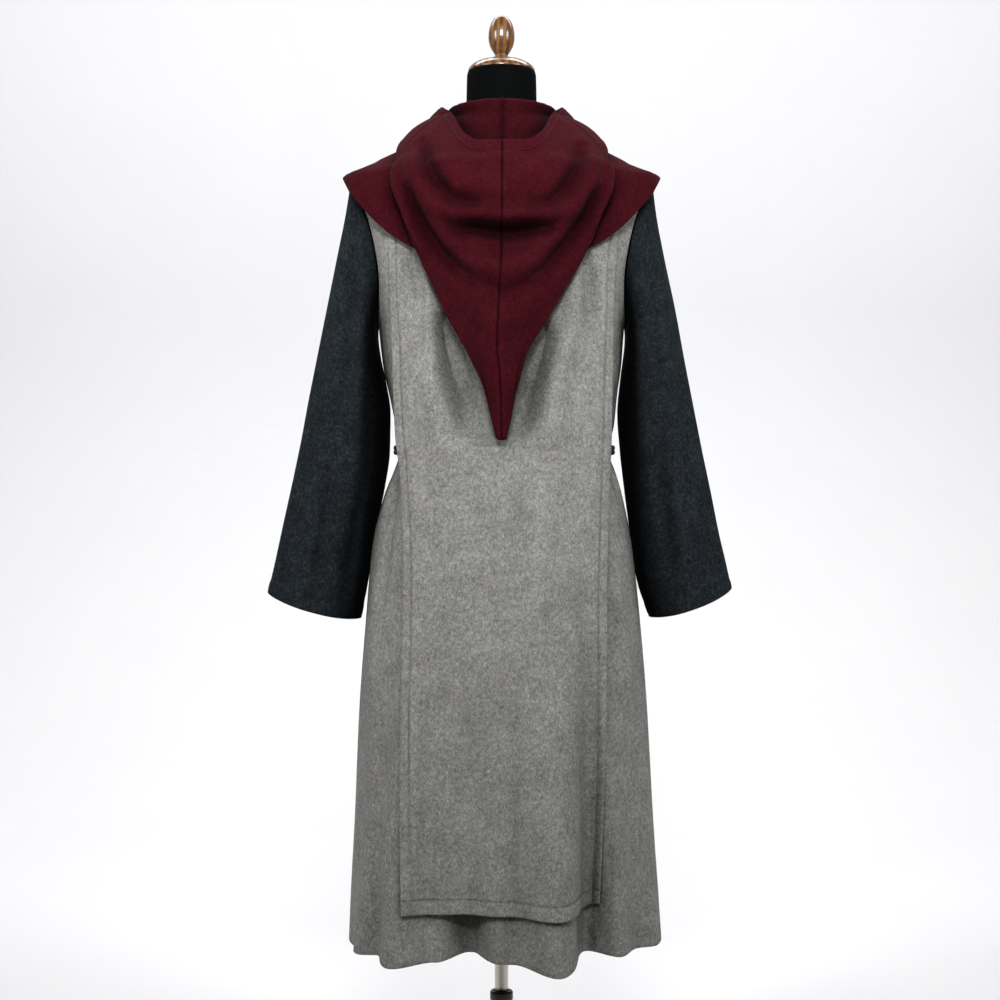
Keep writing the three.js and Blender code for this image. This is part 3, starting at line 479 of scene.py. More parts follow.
def tunic_grid(side, columns):
    share = np.linspace(0, 1, columns + 1)[None, :]
    over = np.linspace(0, 1, 13)[:-1, None]
    angle_over = side * np.pi * share + 0 * over
    z_over = neckline_z(angle_over) * (1 - over) + ARMHOLE_TOP_Z * over
    z_arm = ARMHOLE_Z + ARMHOLE_HALF_HEIGHT * np.cos(np.pi * np.linspace(0, 1, 41))
    z_down = np.concatenate([z_arm, np.linspace(ARMHOLE_FOOT_Z - 6, HEM_Z, 132)])[:, None]
    cut = np.where(z_down < ARMHOLE_FOOT_Z + 0.5, 0, armhole_angle(z_down, side))
    angle_down = side * (cut + (np.pi - 2 * cut) * share)
    hem_share = np.maximum(0, (WAIST_Z - z_down) / (WAIST_Z - HEM_Z)) ** 3
    z_down = z_down - HEM_DIP * fold_push(angle_down, HEM_Z) * hem_share
    angle = np.concatenate([angle_over, angle_down])
    z = np.concatenate([z_over, z_down])
    section = tunic_section(z)
    grid = ring_point(section, angle, z)
    grid += ring_outward(section, angle) * fold_push(angle, z)[..., None]
    own = TUNIC_BACK_FOLDS if side > 0 else TUNIC_FRONT_FOLDS
    over_it = SCAPULAR_BACK_FOLDS if side > 0 else SCAPULAR_FRONT_FOLDS
    x, low = grid[..., 0], grid[..., 2]
    seams = smooth_step(0, 0.06, share) * smooth_step(0, 0.06, 1 - share)
    push = laid_folds(own, x, low) + waist_gathers(angle, low)
    push += hanging_drift(x, low) * (1 - smooth_step(1380, 1450, low))
    push += np.minimum(laid_folds(over_it, x, low), 0) * (1 - smooth_step(900, 1000, low))
    push *= seams * smooth_step(0, 25, np.abs(low - WAIST_Z)) * (1 - smooth_step(1500, 1540, low))
    grid += grid_normals(grid) * side * push[..., None]
    grid[..., 1] += side * SEAM_HALF
    return grid


tunic_back = cloth_wall("cloth_tunic_back", tunic_grid(1, 168), gray_wool, way=1)
takes_over(tunic_back, "tunic_back")
tunic_front = cloth_wall("cloth_tunic_front", tunic_grid(-1, 152), gray_wool, way=-1)
takes_over(tunic_front, "tunic_front")

# ---------------------------------------------------------------------------
# Sleeves. Very wide tubes of charcoal wool, each cut in one and sewn under the
# arm, set into the armholes. They hang flat from the shoulder with long soft
# creases, and their cuffs are open.
# ---------------------------------------------------------------------------
# Painted shade, far-reaching and deep, darkens the sleeves' inner sides next to the body and their creases.
charcoal_wool = wool(
    "charcoal_wool", (0.0040, 0.0054, 0.0066), (0.0105, 0.0135, 0.0160), (0.029, 0.036, 0.041),
    contrast=0.9, sheen=0.006, shade_reach=0.2, depth=2.8,
)

SLEEVE_NAMES = "along outer_x outer_z inner_x inner_z depth square"
left_sleeve = smooth_table(SLEEVE_NAMES, [
    (0.0, 249, 1550, 205, 1312, 66, 2.0), (0.1, 257, 1500, 204.5, 1299, 65, 2.0),
    (0.2, 271, 1430, 202, 1283, 62, 2.05), (0.3, 288, 1345, 198, 1260, 58, 2.1),
    (0.4, 304, 1265, 190, 1222, 54, 2.15), (0.5, 318, 1195, 183, 1172, 51, 2.2),
    (0.6, 331, 1125, 184, 1112, 49, 2.2), (0.7, 345, 1058, 194, 1042, 47, 2.25),
    (0.8, 360, 990, 210, 969, 45, 2.3), (0.9, 373, 930, 219.5, 898, 44, 2.3),
    (1.0, 385, 878, 232, 836, 43, 2.3),
])
right_sleeve = smooth_table(SLEEVE_NAMES, [
    (0.0, 249, 1550, 205, 1312, 66, 2.0), (0.1, 255, 1500, 204.5, 1299, 65, 2.0),
    (0.2, 268, 1430, 203, 1283, 62, 2.05), (0.3, 286, 1345, 200, 1260, 58, 2.1),
    (0.4, 302, 1258, 195, 1222, 54, 2.15), (0.5, 316, 1186, 191, 1172, 51, 2.2),
    (0.6, 330, 1115, 195, 1112, 49, 2.2), (0.7, 345, 1043, 203, 1042, 47, 2.25),
    (0.8, 359, 973, 212.5, 969, 45, 2.3), (0.9, 371, 922, 223, 898, 44, 2.3),
    (1.0, 379, 885, 244, 838, 43, 2.3),
])
LEFT_SLEEVE_BACK = [
    ([(236, 1500), (240, 1400), (246, 1290), (262, 1150)], -5, (8, 12)),
    ([(262, 1420), (279, 1280), (297, 1130), (318, 990)], 4, (10, 14)),
    ([(222, 1340), (226, 1240), (232, 1120), (246, 960)], 4, (9, 13)),
    ([(282, 1330), (300, 1190), (318, 1060)], -4, (8, 11)),
    ([(268, 1120), (282, 1010), (300, 880)], -4.5, (11, 14)),
    ([(230, 1060), (244, 950), (256, 860)], -3.5, (9, 11)),
    ([(292, 1050), (308, 950), (318, 870)], 3.5, (10, 12)),
    ([(338, 1060), (352, 960), (362, 890)], -3, (8, 9)),
]
RIGHT_SLEEVE_BACK = [
    ([(-234, 1505), (-238, 1410), (-248, 1300), (-258, 1180)], -5, (8, 12)),
    ([(-258, 1440), (-272, 1320), (-284, 1200), (-296, 1070)], 4.5, (8, 9)),
    ([(-272, 1360), (-286, 1240), (-300, 1120), (-312, 1000)], -3.5, (8, 10)),
    ([(-218, 1330), (-222, 1220), (-230, 1100)], 3.5, (10, 12)),
    ([(-252, 1150), (-262, 1040), (-276, 900)], -4.5, (11, 14)),
    ([(-300, 1120), (-318, 1000), (-330, 900)], 4, (10, 12)),
    ([(-280, 1040), (-294, 940), (-304, 860)], 3, (11, 12)),
    ([(-336, 1060), (-350, 960), (-358, 895)], -3, (8, 9)),
]
LEFT_SLEEVE_FRONT = [
    ([(238, 1490), (244, 1380), (254, 1240)], -5, (8, 12)),
    ([(270, 1400), (286, 1250), (304, 1090)], 4, (10, 13)),
    ([(244, 1150), (256, 1020), (272, 880)], -4, (11, 13)),
    ([(300, 1180), (318, 1040), (336, 910)], -4, (9, 12)),
    ([(226, 1250), (230, 1110), (244, 960)], 3, (10, 12)),
    ([(292, 990), (302, 920), (308, 862)], 3.5, (11, 12)),
]
RIGHT_SLEEVE_FRONT = [
    ([(-236, 1495), (-243, 1370), (-256, 1220)], -5, (8, 12)),
    ([(-266, 1390), (-284, 1240), (-300, 1100)], 4, (10, 13)),
    ([(-250, 1120), (-264, 1000), (-280, 885)], -4, (11, 13)),
    ([(-304, 1160), (-322, 1030), (-338, 920)], -3.5, (9, 12)),
    ([(-224, 1240), (-230, 1100), (-248, 950)], 3, (10, 12)),
]


def sleeve_grid(section_at, way, folds_behind, folds_before):
    angle = np.linspace(0, 2 * np.pi, 96, endpoint=False)[None, :]
    along = np.concatenate([np.linspace(0, 0.94, 104), np.linspace(0.95, 1, 12)])[:, None]

    def flat(section):
        power = 2 / section["square"]
        share = 0.5 + 0.5 * signed_power(np.cos(angle), power)
        x = section["inner_x"] + share * (section["outer_x"] - section["inner_x"])
        z = section["inner_z"] + share * (section["outer_z"] - section["inner_z"])
        y = section["depth"] * signed_power(np.sin(angle), power)
        return np.stack(np.broadcast_arrays(x, y, z), -1)

    edge_z = ARMHOLE_Z + ARMHOLE_HALF_HEIGHT * np.cos(angle)
    behind = np.sin(angle) >= 0
    cut = np.where(behind, armhole_angle(edge_z, 1), -armhole_angle(edge_z, -1))
    clear = 1.6 + 1.4 * (1 - np.cos(angle)) / 2
    edge_x = ring_point(tunic_section(edge_z), cut, edge_z)[..., 0] + clear
    edge = np.stack([edge_x, ARMHOLE_HALF_DEPTH * np.sin(angle), edge_z], -1)
    grid = flat(section_at(along)) + (edge - flat(section_at(0.0))) * ((1 - along) ** 4)[..., None]
    grid[..., 2] -= 10 * np.sin(angle) ** 2 * along ** 6
    grid[..., 0] *= way
    x, z = grid[..., 0], grid[..., 2]
    face = smooth_step(0.15, 0.7, np.abs(np.sin(angle)))
    behind_push = laid_folds(folds_behind, x, z)
    push = np.where(np.sin(angle) > 0, behind_push, laid_folds(folds_before, x, z))
    push += 1.3 * hanging_drift(1.3 * x + 40, 0.8 * z)
    cuff = 1.2 * smooth_step(0.955, 0.975, along) * (1 - 0.4 * smooth_step(0.985, 1, along))
    push = push * face * smooth_step(0, 0.12, along) + cuff
    return grid + grid_normals(grid, True) * way * push[..., None]


for way, part, section_at, behind, before, cut, area in (
    (1, "left", left_sleeve, LEFT_SLEEVE_BACK, LEFT_SLEEVE_FRONT, (0.611, 0.686), 0.229),
    (-1, "right", right_sleeve, RIGHT_SLEEVE_BACK, RIGHT_SLEEVE_FRONT, (0.611, 0.678), 0.219),
):
    grid = sleeve_grid(section_at, way, behind, before)
    sleeve = cloth_wall(f"cloth_sleeve_{part}", grid, charcoal_wool, way=way, loop=True)
    takes_over(sleeve, f"sleeve_{part}")

# ---------------------------------------------------------------------------
# Scapular. Two long panels of the tunic's wool, joined over the shoulders and
# free below, worn over the tunic and the belt. Their sides and hems are turned
# in and held by a row of stitching.
# ---------------------------------------------------------------------------
SCAPULAR_HEM_Z = 386
SCAPULAR_SHOULDER_Z = 1595
scapular_section = smooth_table("z half back front square shift", SHOULDERS + [
    (1400, 216, 136, 123, 2.5, 0), (1312, 213, 136, 124, 2.5, 0), (1200, 212, 138, 124, 2.5, -2),
    (1112, 214, 141, 125, 2.5, -4), (1040, 217, 144, 127, 2.4, -3), (960, 222, 149, 133, 2.3, -1),
    (850, 230, 158, 149, 2.2, -2), (700, 240, 170, 161, 2.2, -2.5), (500, 250, 182, 173, 2.2, -4),
    (386, 256, 189, 179, 2.2, -5),
])
scapular_edge = smooth_table("z left right", [
    (1450, 179, 184), (1350, 176, 178), (1140, 168, 174), (1062, 159, 171), (960, 155, 168),
    (870, 153, 166), (613, 150, 166), (386, 144, 166),
])
# Distances in from an edge where the turned hem is stitched down, in a slight
# furrow, and how much deeper than a plain one the scapular's furrows are.
SIDE_TURN = 13
HEM_TURN = 22
SIDE_PRESS = 1.9
HEM_PRESS = 1.6


def hem_profile(away, turn):
    rolled = 0.55 * smooth_step(0, 2.5, away) * (1 - smooth_step(turn - 2, turn, away))
    return rolled - 0.75 * np.exp(-((away - turn) / 1.5) ** 2)


def scapular_grid(side):
    near = np.array([0, 1.2, 3, 6, 9, 11, 12, 13, 14, 15, 17, 20])
    step = np.concatenate([near / 330, np.linspace(24, 306, 66) / 330, 1 - near[::-1] / 330])[None, :]
    over = np.linspace(0, 1, 9)[:-1, None]
    low_z = np.array([0, 1.2, 3, 6, 10, 14, 18, 20, 21, 22, 23, 24, 26, 30, 35]) + SCAPULAR_HEM_Z
    z_down = np.concatenate([
        [1595, 1592, 1588, 1582, 1576, 1570], np.linspace(1564, 430, 158), low_z[::-1],
    ])[:, None]
    section = scapular_section(z_down)
    edges = scapular_edge(np.minimum(z_down, 1450))
    half, shift = section["half"], section["shift"]
    x_left = np.minimum(edges["left"], half + shift)
    x_right = np.maximum(-edges["right"], shift - half)
    x_share = np.clip((x_left + (x_right - x_left) * step - shift) / half, -1, 1)
    angle_down = np.arccos(signed_power(x_share, section["square"] / 2)) * side
    angle_over = np.arccos(1 - 2 * step) * side + 0 * over
    z_over = neckline_z(angle_over) * (1 - over) + SCAPULAR_SHOULDER_Z * over
    angle = np.concatenate([angle_over, angle_down])
    z = np.concatenate([z_over, z_down + 0 * step])
    section = scapular_section(z)
    grid = ring_point(section, angle, z)
    grid += ring_outward(section, angle) * fold_push(angle, z, True)[..., None]
    x, low = grid[..., 0].copy(), grid[..., 2].copy()
    push = laid_folds(SCAPULAR_BACK_FOLDS if side > 0 else SCAPULAR_FRONT_FOLDS, x, low)
    push += hanging_drift(x, low)
    push *= 1 - smooth_step(1400, 1470, low)
    row_x = np.abs(np.gradient(x, axis=1))
    from_left = np.cumsum(row_x, 1) - row_x
    from_right = from_left[:, -1:] - from_left
    away = np.minimum(from_left, from_right)
    free = 1 - smooth_step(1560, 1590, low)
    push += SIDE_PRESS * free * hem_profile(away, SIDE_TURN)
    push += HEM_PRESS * hem_profile(low - SCAPULAR_HEM_Z, HEM_TURN)
    # The hem lifts a little at the wearer's right, where the panel turns away.
    lift = 9 * smooth_step(-95, -160, x) if side > 0 else 5 * smooth_step(90, 160, x)
    grid[..., 2] += lift * np.clip((900 - low) / 514, 0, 1) ** 2
    normals = grid_normals(grid) * side
    grid += normals * (LAY + WOOL + push)[..., None]
    grid[..., 1] += side * SEAM_HALF
    return grid, normals


# A node tree with named inputs and one shape coming out of it.
def start_tree(name, inputs, shape):
    tree = bpy.data.node_groups.new(name + "_tree", "GeometryNodeTree")
    sockets = {}
    for label, kind in inputs:
        sockets[label] = tree.interface.new_socket(label, in_out="INPUT", socket_type=f"NodeSocket{kind}")
    tree.interface.new_socket(shape, in_out="OUTPUT", socket_type="NodeSocketGeometry")
    return tree, sockets, tree.nodes.new("NodeGroupInput"), tree.nodes.new("NodeGroupOutput")


# The close of every node tree: the shape made real, smooth and of its material.
def end_tree(tree, shape, outlet, material):
    for kind in ("GeometryNodeRealizeInstances", "GeometryNodeSetShadeSmooth", "GeometryNodeSetMaterial"):
        node = tree.nodes.new(kind)
        tree.links.new(shape, node.inputs[0])
        shape = node.outputs[0]
    node.inputs["Material"].default_value = material
    tree.links.new(shape, outlet.inputs[0])


# A row of machine stitches along a line of points: each a short rounded loop of
# thread lying on the cloth, a little uneven.
def stitch_row(name, lines, lifts, material, pitch=3.4, length=2.5, width=0.62):
    points, links, ways = [], [], []
    for line, lift in zip(lines, lifts):
        first = len(points)
        points += (line * MM).tolist()
        ways += lift.tolist()
        links += [(first + k, first + k + 1) for k in range(len(line) - 1)]
    mesh = bpy.data.meshes.new(name)
    mesh.from_pydata(points, links, [])
    lift_table = mesh.attributes.new("lift", "FLOAT_VECTOR", "POINT").data
    lift_table.foreach_set("vector", np.array(ways, np.float32).ravel())
    piece = place_piece(name, mesh)

    sizes = (("Pitch", "Float"), ("Length", "Float"), ("Width", "Float"))
    inputs = (("Line", "Geometry"), *sizes, ("Seed", "Int"))
    tree, sockets, inlet, outlet = start_tree(name, inputs, "Stitches")
    new, link = tree.nodes.new, tree.links.new
    curve = new("GeometryNodeMeshToCurve")
    spaced = new("GeometryNodeResampleCurve")
    spaced.mode = "LENGTH"
    link(inlet.outputs["Line"], curve.inputs[0])
    link(curve.outputs[0], spaced.inputs["Curve"])
    link(inlet.outputs["Pitch"], spaced.inputs["Length"])
    lift = new("GeometryNodeInputNamedAttribute")
    lift.data_type = "FLOAT_VECTOR"
    lift.inputs["Name"].default_value = "lift"
    along = new("FunctionNodeAlignRotationToVector")
    along.axis = "X"
    link(new("GeometryNodeInputTangent").outputs[0], along.inputs["Vector"])
    upright = new("FunctionNodeAlignRotationToVector")
    upright.axis, upright.pivot_axis = "Z", "X"
    link(along.outputs[0], upright.inputs["Rotation"])
    link(lift.outputs["Attribute"], upright.inputs["Vector"])
    bead = new("GeometryNodeMeshUVSphere")
    for label, value in (("Segments", 6), ("Rings", 5), ("Radius", 0.5)):
        bead.inputs[label].default_value = value
    uneven = new("FunctionNodeRandomValue")
    shortest, longest = uneven.inputs[2], uneven.inputs[3]
    shortest.default_value, longest.default_value = 0.88, 1.08
    link(inlet.outputs["Seed"], uneven.inputs["Seed"])
    size = new("ShaderNodeCombineXYZ")
    link(math_node(tree, "MULTIPLY", inlet.outputs["Length"], uneven.outputs[1]), size.inputs["X"])
    link(inlet.outputs["Width"], size.inputs["Y"])
    link(inlet.outputs["Width"], size.inputs["Z"])
    placed = new("GeometryNodeInstanceOnPoints")
    link(spaced.outputs[0], placed.inputs["Points"])
    link(bead.outputs["Mesh"], placed.inputs["Instance"])
    link(upright.outputs[0], placed.inputs["Rotation"])
    link(size.outputs[0], placed.inputs["Scale"])
    end_tree(tree, placed.outputs[0], outlet, material)
    values = {"Pitch": pitch * MM, "Length": length * MM, "Width": width * MM, "Seed": 3}
    return baked(piece, tree, sockets, values, material)


# Runs a node tree on a piece once and keeps the plain mesh it makes.
def baked(piece, tree, sockets, values, material):
    modifier = piece.modifiers.new("build", "NODES")
    modifier.node_group = tree
    for label, value in values.items():
        modifier[sockets[label].identifier] = value
    bpy.context.view_layer.update()
    ready = piece.evaluated_get(bpy.context.evaluated_depsgraph_get())
    mesh = bpy.data.meshes.new_from_object(ready)
    mesh.name = piece.name
    piece.modifiers.clear()
    piece.data = mesh
    if material.name not in mesh.materials:
        mesh.materials.clear()
        mesh.materials.append(material)
    return piece


# A finish with a fine grain of two colours. Relief is the grain's bump: its height
# in metres and its strength.
def grained(name, scale, stops, roughness, stretch=None, detail=2, fineness=0.5, relief=None, specular=0.5):
    material, tree, shader = new_material(name)
    place = tree.nodes.new("ShaderNodeTexCoord").outputs["Object"]
    if stretch:
        place = mapped(tree, place, stretch)
    grain = noise_node(tree, place, scale, detail, fineness)
    tree.links.new(ramp_node(tree, grain, stops), shader.inputs["Base Color"])
    if relief:
        tree.links.new(bump_node(tree, grain, *relief), shader.inputs["Normal"])
    shader.inputs["Roughness"].default_value = roughness
    shader.inputs["Specular IOR Level"].default_value = specular
    return material


def thread(name, color):
    dark, light = [tuple(part * way for part in color) for way in (0.75, 1.2)]
    return grained(name, 1400, [(0.3, dark), (0.7, light)], 0.6, fineness=0.6, specular=0.3)


gray_thread = thread("gray_thread", (0.17, 0.168, 0.158))


# The line a given distance in from a scapular's edges, just proud of its furrow.
def scapular_stitch_lines(grid, normals):
    rows = np.arange(14, grid.shape[0] - 10, 2)
    lines, lifts = [], []
    for column in (7, grid.shape[1] - 8):
        lines.append(grid[rows, column] + 0.15 * normals[rows, column])
        lifts.append(normals[rows, column])
    row = grid.shape[0] - 10
    columns = np.arange(7, grid.shape[1] - 7)
    lines.append(grid[row, columns] + 0.15 * normals[row, columns])
    lifts.append(normals[row, columns])
    return lines, lifts


for side, part in ((1, "back"), (-1, "front")):
    grid, normals = scapular_grid(side)
    panel = cloth_wall(f"cloth_scapular_{part}", grid, gray_wool, way=side)
    takes_over(panel, f"scapular_{part}")
    seams = stitch_row(f"stitches_scapular_{part}", *scapular_stitch_lines(grid, normals), gray_thread)
    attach(seams, "form")
    cut, area = ((0.44, 1.28), 0.480) if side > 0 else ((0.42, 1.26), 0.449)

# ---------------------------------------------------------------------------
# Belt. A dark flat cord of three braided strands, tied round the waist over the
# tunic and under both scapular panels.
# ---------------------------------------------------------------------------
cord_wool = grained(
    "belt_cord", 900, [(0.3, (0.008, 0.007, 0.007)), (0.72, (0.04, 0.034, 0.03))], 0.85,
    detail=3, fineness=0.7, relief=(0.0008, 0.7), specular=0.2,
)


def braided_cord(name, line, material, crossings, across, deep, strand):
    count = len(line)
    mesh = bpy.data.meshes.new(name)
    mesh.from_pydata((line * MM).tolist(), [(k, (k + 1) % count) for k in range(count)], [])
    piece = place_piece(name, mesh)
    labels = ("Crossings", "Across", "Deep", "Strand")
    inputs = (("Line", "Geometry"), *((label, "Float") for label in labels))
    tree, sockets, inlet, outlet = start_tree(name, inputs, "Cord")
    new, link = tree.nodes.new, tree.links.new
    curve = new("GeometryNodeMeshToCurve")
    spaced = new("GeometryNodeResampleCurve")
    spaced.inputs["Count"].default_value = 660
    link(inlet.outputs["Line"], curve.inputs[0])
    link(curve.outputs[0], spaced.inputs["Curve"])
    along = new("GeometryNodeSplineParameter").outputs["Factor"]
    outward = new("ShaderNodeVectorMath")
    outward.operation = "CROSS_PRODUCT"
    outward.inputs[1].default_value = (0, 0, 1)
    link(new("GeometryNodeInputTangent").outputs[0], outward.inputs[0])
    profile = new("GeometryNodeCurvePrimitiveCircle")
    profile.inputs["Resolution"].default_value = 10
    link(inlet.outputs["Strand"], profile.inputs["Radius"])
    joined = new("GeometryNodeJoinGeometry")
    full_turns = math_node(tree, "MULTIPLY", inlet.outputs["Crossings"], 2 * np.pi)
    turns = math_node(tree, "MULTIPLY", along, full_turns)
    for k in range(3):
        phase = math_node(tree, "ADD", turns, 2 * np.pi * k / 3)
        up = math_node(tree, "MULTIPLY", math_node(tree, "SINE", phase, 0.0), inlet.outputs["Across"])
        twice = math_node(tree, "SINE", math_node(tree, "MULTIPLY", phase, 2.0), 0.0)
        out = math_node(tree, "MULTIPLY", twice, inlet.outputs["Deep"])
        rise = new("ShaderNodeCombineXYZ")
        link(up, rise.inputs["Z"])
        away = new("ShaderNodeVectorMath")
        away.operation = "SCALE"
        link(outward.outputs[0], away.inputs[0])
        link(out, away.inputs["Scale"])
        both = new("ShaderNodeVectorMath")
        link(rise.outputs[0], both.inputs[0])
        link(away.outputs[0], both.inputs[1])
        moved = new("GeometryNodeSetPosition")
        link(spaced.outputs[0], moved.inputs["Geometry"])
        link(both.outputs[0], moved.inputs["Offset"])
        tube = new("GeometryNodeCurveToMesh")
        link(moved.outputs[0], tube.inputs["Curve"])
        link(profile.outputs[0], tube.inputs["Profile Curve"])
        link(tube.outputs[0], joined.inputs[0])
    end_tree(tree, joined.outputs[0], outlet, material)
    values = dict(zip(labels, (float(crossings), across * MM, deep * MM, strand * MM)))
    return baked(piece, tree, sockets, values, material)


waist_angle = np.linspace(0, 2 * np.pi, 400, endpoint=False)
waist = tunic_section(np.full(400, float(WAIST_Z)))
belt_line = ring_point(waist, waist_angle, WAIST_Z) + 4.5 * ring_outward(waist, waist_angle)
belt = braided_cord("cord_belt", belt_line, cord_wool, crossings=27, across=5.6, deep=1.5, strand=2.1)
takes_over(belt, "belt")

# ---------------------------------------------------------------------------
# Mantle. A burgundy wool shoulder cape in two halves, seamed down the middle of
# the back and of the front, wide at the shoulders and rounded below. It lies
# over the scapular and carries the hood.
# ---------------------------------------------------------------------------
# Painted shade, far-reaching and deep, darkens the hood's pouch behind the rim and its deep folds.
burgundy_wool = wool(
    "burgundy_wool", (0.018, 0.0013, 0.0026), (0.036, 0.0030, 0.0058), (0.066, 0.008, 0.012),
    contrast=0.6, sheen=0.010, shade_reach=0.22, depth=3.0,
)
MANTLE_NECK_Z = 1652
MANTLE_NECK_DROP = 44
MANTLE_SIDE_Z = 1561  # where its section is widest
MANTLE_HEM_Z = 1559  # hem at the points of the shoulders
MANTLE_HEM_DROP = 160  # how much lower it is behind and in front
mantle_section = smooth_table("z half back front square", [
    (1652, 82, 74, 66, 2.0), (1646, 91, 77.4, 71.5, 2.0), (1617, 141, 89, 81, 2.0),
    (1598, 180, 99, 90, 2.0), (1575, 228, 110, 101, 2.05), (1558, 262, 122, 110, 2.1),
    (1530, 264, 130, 116, 2.2), (1500, 258, 135, 121, 2.3), (1450, 247, 141, 127, 2.4),
    (1400, 237, 144, 131, 2.5), (1350, 229, 145, 132, 2.5), (1250, 226, 147, 133, 2.5),
    (1100, 226, 150, 135, 2.5),
])
CAPE_HEADINGS = np.radians([
    90, 87.5, 82, 75.5, 68, 60, 51, 43, 36, 32, 29, 24, 16, 8, 0, -7, -15, -25, -38, -54, -72, -90,
])


def section_radius(section, heading):
    depth = np.where(np.sin(heading) < 0, section["front"], section["back"])
    across = (np.abs(np.cos(heading)) / section["half"]) ** section["square"]
    along = (np.abs(np.sin(heading)) / depth) ** section["square"]
    return (across + along) ** (-1 / section["square"])


def mantle_neck_z(heading):
    return MANTLE_NECK_Z - MANTLE_NECK_DROP * np.maximum(0, -np.sin(heading)) ** 2


# Headings from the middle of the back round to the middle of the front, with
# close ones along the centre seams.
def cape_headings(count):
    places = np.interp(np.linspace(0, 21, count), np.arange(22), CAPE_HEADINGS)
    seam = np.radians([0, 0.35, 0.7, 1.1, 1.6])
    inner = places[(places < np.pi / 2 - seam[-1] * 1.3) & (places > -np.pi / 2 + seam[-1] * 1.3)]
    return np.concatenate([np.pi / 2 - seam, inner, (-np.pi / 2 + seam)[::-1]])[None, :]


# Two halves meet in a seam pressed open: a fine furrow with a soft swell each side.
def seam_profile(away):
    return 0.8 * np.exp(-((away - 5) / 3.5) ** 2) - 2.2 * np.exp(-(away / 1.6) ** 2)


MANTLE_FOLDS = [
    ([(205, 1588), (213, 1545), (214, 1505)], -2.2, (9, 12)),
    ([(-207, 1587), (-216, 1540), (-213, 1500)], -2.2, (9, 12)),
    ([(236, 1566), (240, 1540)], 1.6, (10, 12)),
    ([(-234, 1567), (-239, 1538)], 1.6, (10, 12)),
]


def mantle_grid(way):
    heading = cape_headings(104)
    down = np.concatenate([np.linspace(0, 0.95, 48), np.linspace(0.956, 1, 10)])[:, None]
    hem_section = mantle_section(MANTLE_SIDE_Z)
    hem_radius = section_radius(hem_section, heading)
    before = np.sin(heading) < 0
    depth = np.where(before, hem_section["front"], hem_section["back"])
    back = np.abs(hem_radius * np.sin(heading)) / depth
    hem_z = MANTLE_HEM_Z - MANTLE_HEM_DROP * back ** 2
    z = mantle_neck_z(heading) * (1 - down) + hem_z * down
    radius = section_radius(mantle_section(z), heading)
    grid = np.stack([radius * np.cos(heading), radius * np.sin(heading), z], -1)
    away = np.abs(grid[..., 0])
    push = seam_profile(away)
    push += laid_folds(MANTLE_FOLDS, way * grid[..., 0], z) * smooth_step(0.25, 0.5, down)
    push += 0.8 * hem_profile((1 - down) * np.abs(mantle_neck_z(heading) - hem_z), 14)
    push += 0.7 * (hanging_drift(way * grid[..., 0] + 25 * way, z) + 0.4) * smooth_step(0.2, 0.6, down)
    grid[..., 0] += SEAM_HALF
    grid[..., 0] *= way
    return grid + grid_normals(grid) * -way * push[..., None]


for way, part in ((1, "left"), (-1, "right")):
    half = cloth_wall(f"cloth_mantle_{part}", mantle_grid(way), burgundy_wool, way=-way)
    takes_over(half, f"mantle_{part}")

# ---------------------------------------------------------------------------
# Hood. Two halves of the same burgundy wool, sewn to the mantle's neck and down the
# middle. Pushed back, it turns over at the neck, lies down the back to a long point
# and comes up again outside, its slack hanging in a deep fold under the stitched rim.
# ---------------------------------------------------------------------------
hood_column = smooth_table("heading rim_z rim_radius top_z puff", [
    (90, 1594, 153, 1676, 20), (81, 1594.5, 155, 1676, 20), (75.5, 1595, 156, 1676, 20),
    (67.8, 1606, 151, 1676, 20), (58.7, 1625, 134, 1675, 20), (51, 1641, 120, 1675, 20),
    (43.7, 1651, 112, 1674, 19), (36, 1659, 108, 1674, 17), (33, 1661, 107, 1673, 16),
    (29, 1664, 106, 1673, 16), (25, 1667, 105, 1673, 16), (18.5, 1670, 104, 1672, 16),
    (11, 1670, 104, 1671, 16), (0, 1668, 103, 1668, 16), (-30, 1655, 99, 1656, 12),
    (-60, 1630, 94, 1638, 9), (-90, 1612, 90, 1628, 8),
])
hood_fold = smooth_table("heading z run", [
    (90, 1123, 7), (87.5, 1127, 8), (86.4, 1139, 9), (85, 1153, 10), (83.7, 1171, 11), (82, 1193, 12),
    (79.8, 1214, 12), (76.5, 1239, 12), (73, 1264, 11), (68, 1290, 11), (63, 1315, 11),
    (58.8, 1340, 11), (54.7, 1366, 11), (50.5, 1391, 12), (47, 1416, 12), (44, 1436, 12),
    (40.8, 1464, 12), (38.2, 1488, 12), (35.8, 1513, 11), (32.8, 1541, 10), (30.6, 1564, 8),
    (27, 1576, 7), (22.7, 1587, 6), (18.6, 1597, 5), (13.6, 1605, 5), (7, 1611, 5), (0, 1613, 5),
    (-30, 1601, 5), (-60, 1581, 5), (-90, 1566, 5),
])
HOOD_RIM_Z = 1594
HOOD_POINT_Z = 1123
HOOD_TOP_TURN = 4  # radius of the hood's turn at the neck
HOOD_POINT_TURN = 4.5  # radius of the hood's fold along its lower edge
HOOD_OFF = 6.2  # how far the layer on the mantle stands off the mantle's section
RIM_ROWS = np.array([34, 30, 27, 25, 24, 23, 22, 21, 20, 18, 15, 11, 7, 3.5, 1.4, 0])
RIM_REACH = 460  # the rows at the rim are these parts of this usual length, down from it
hood_sway = smooth_table("z x", [(1594, -1), (1425, 0), (1330, 5), (1270, 7), (1212, 2), (1123, 0)])
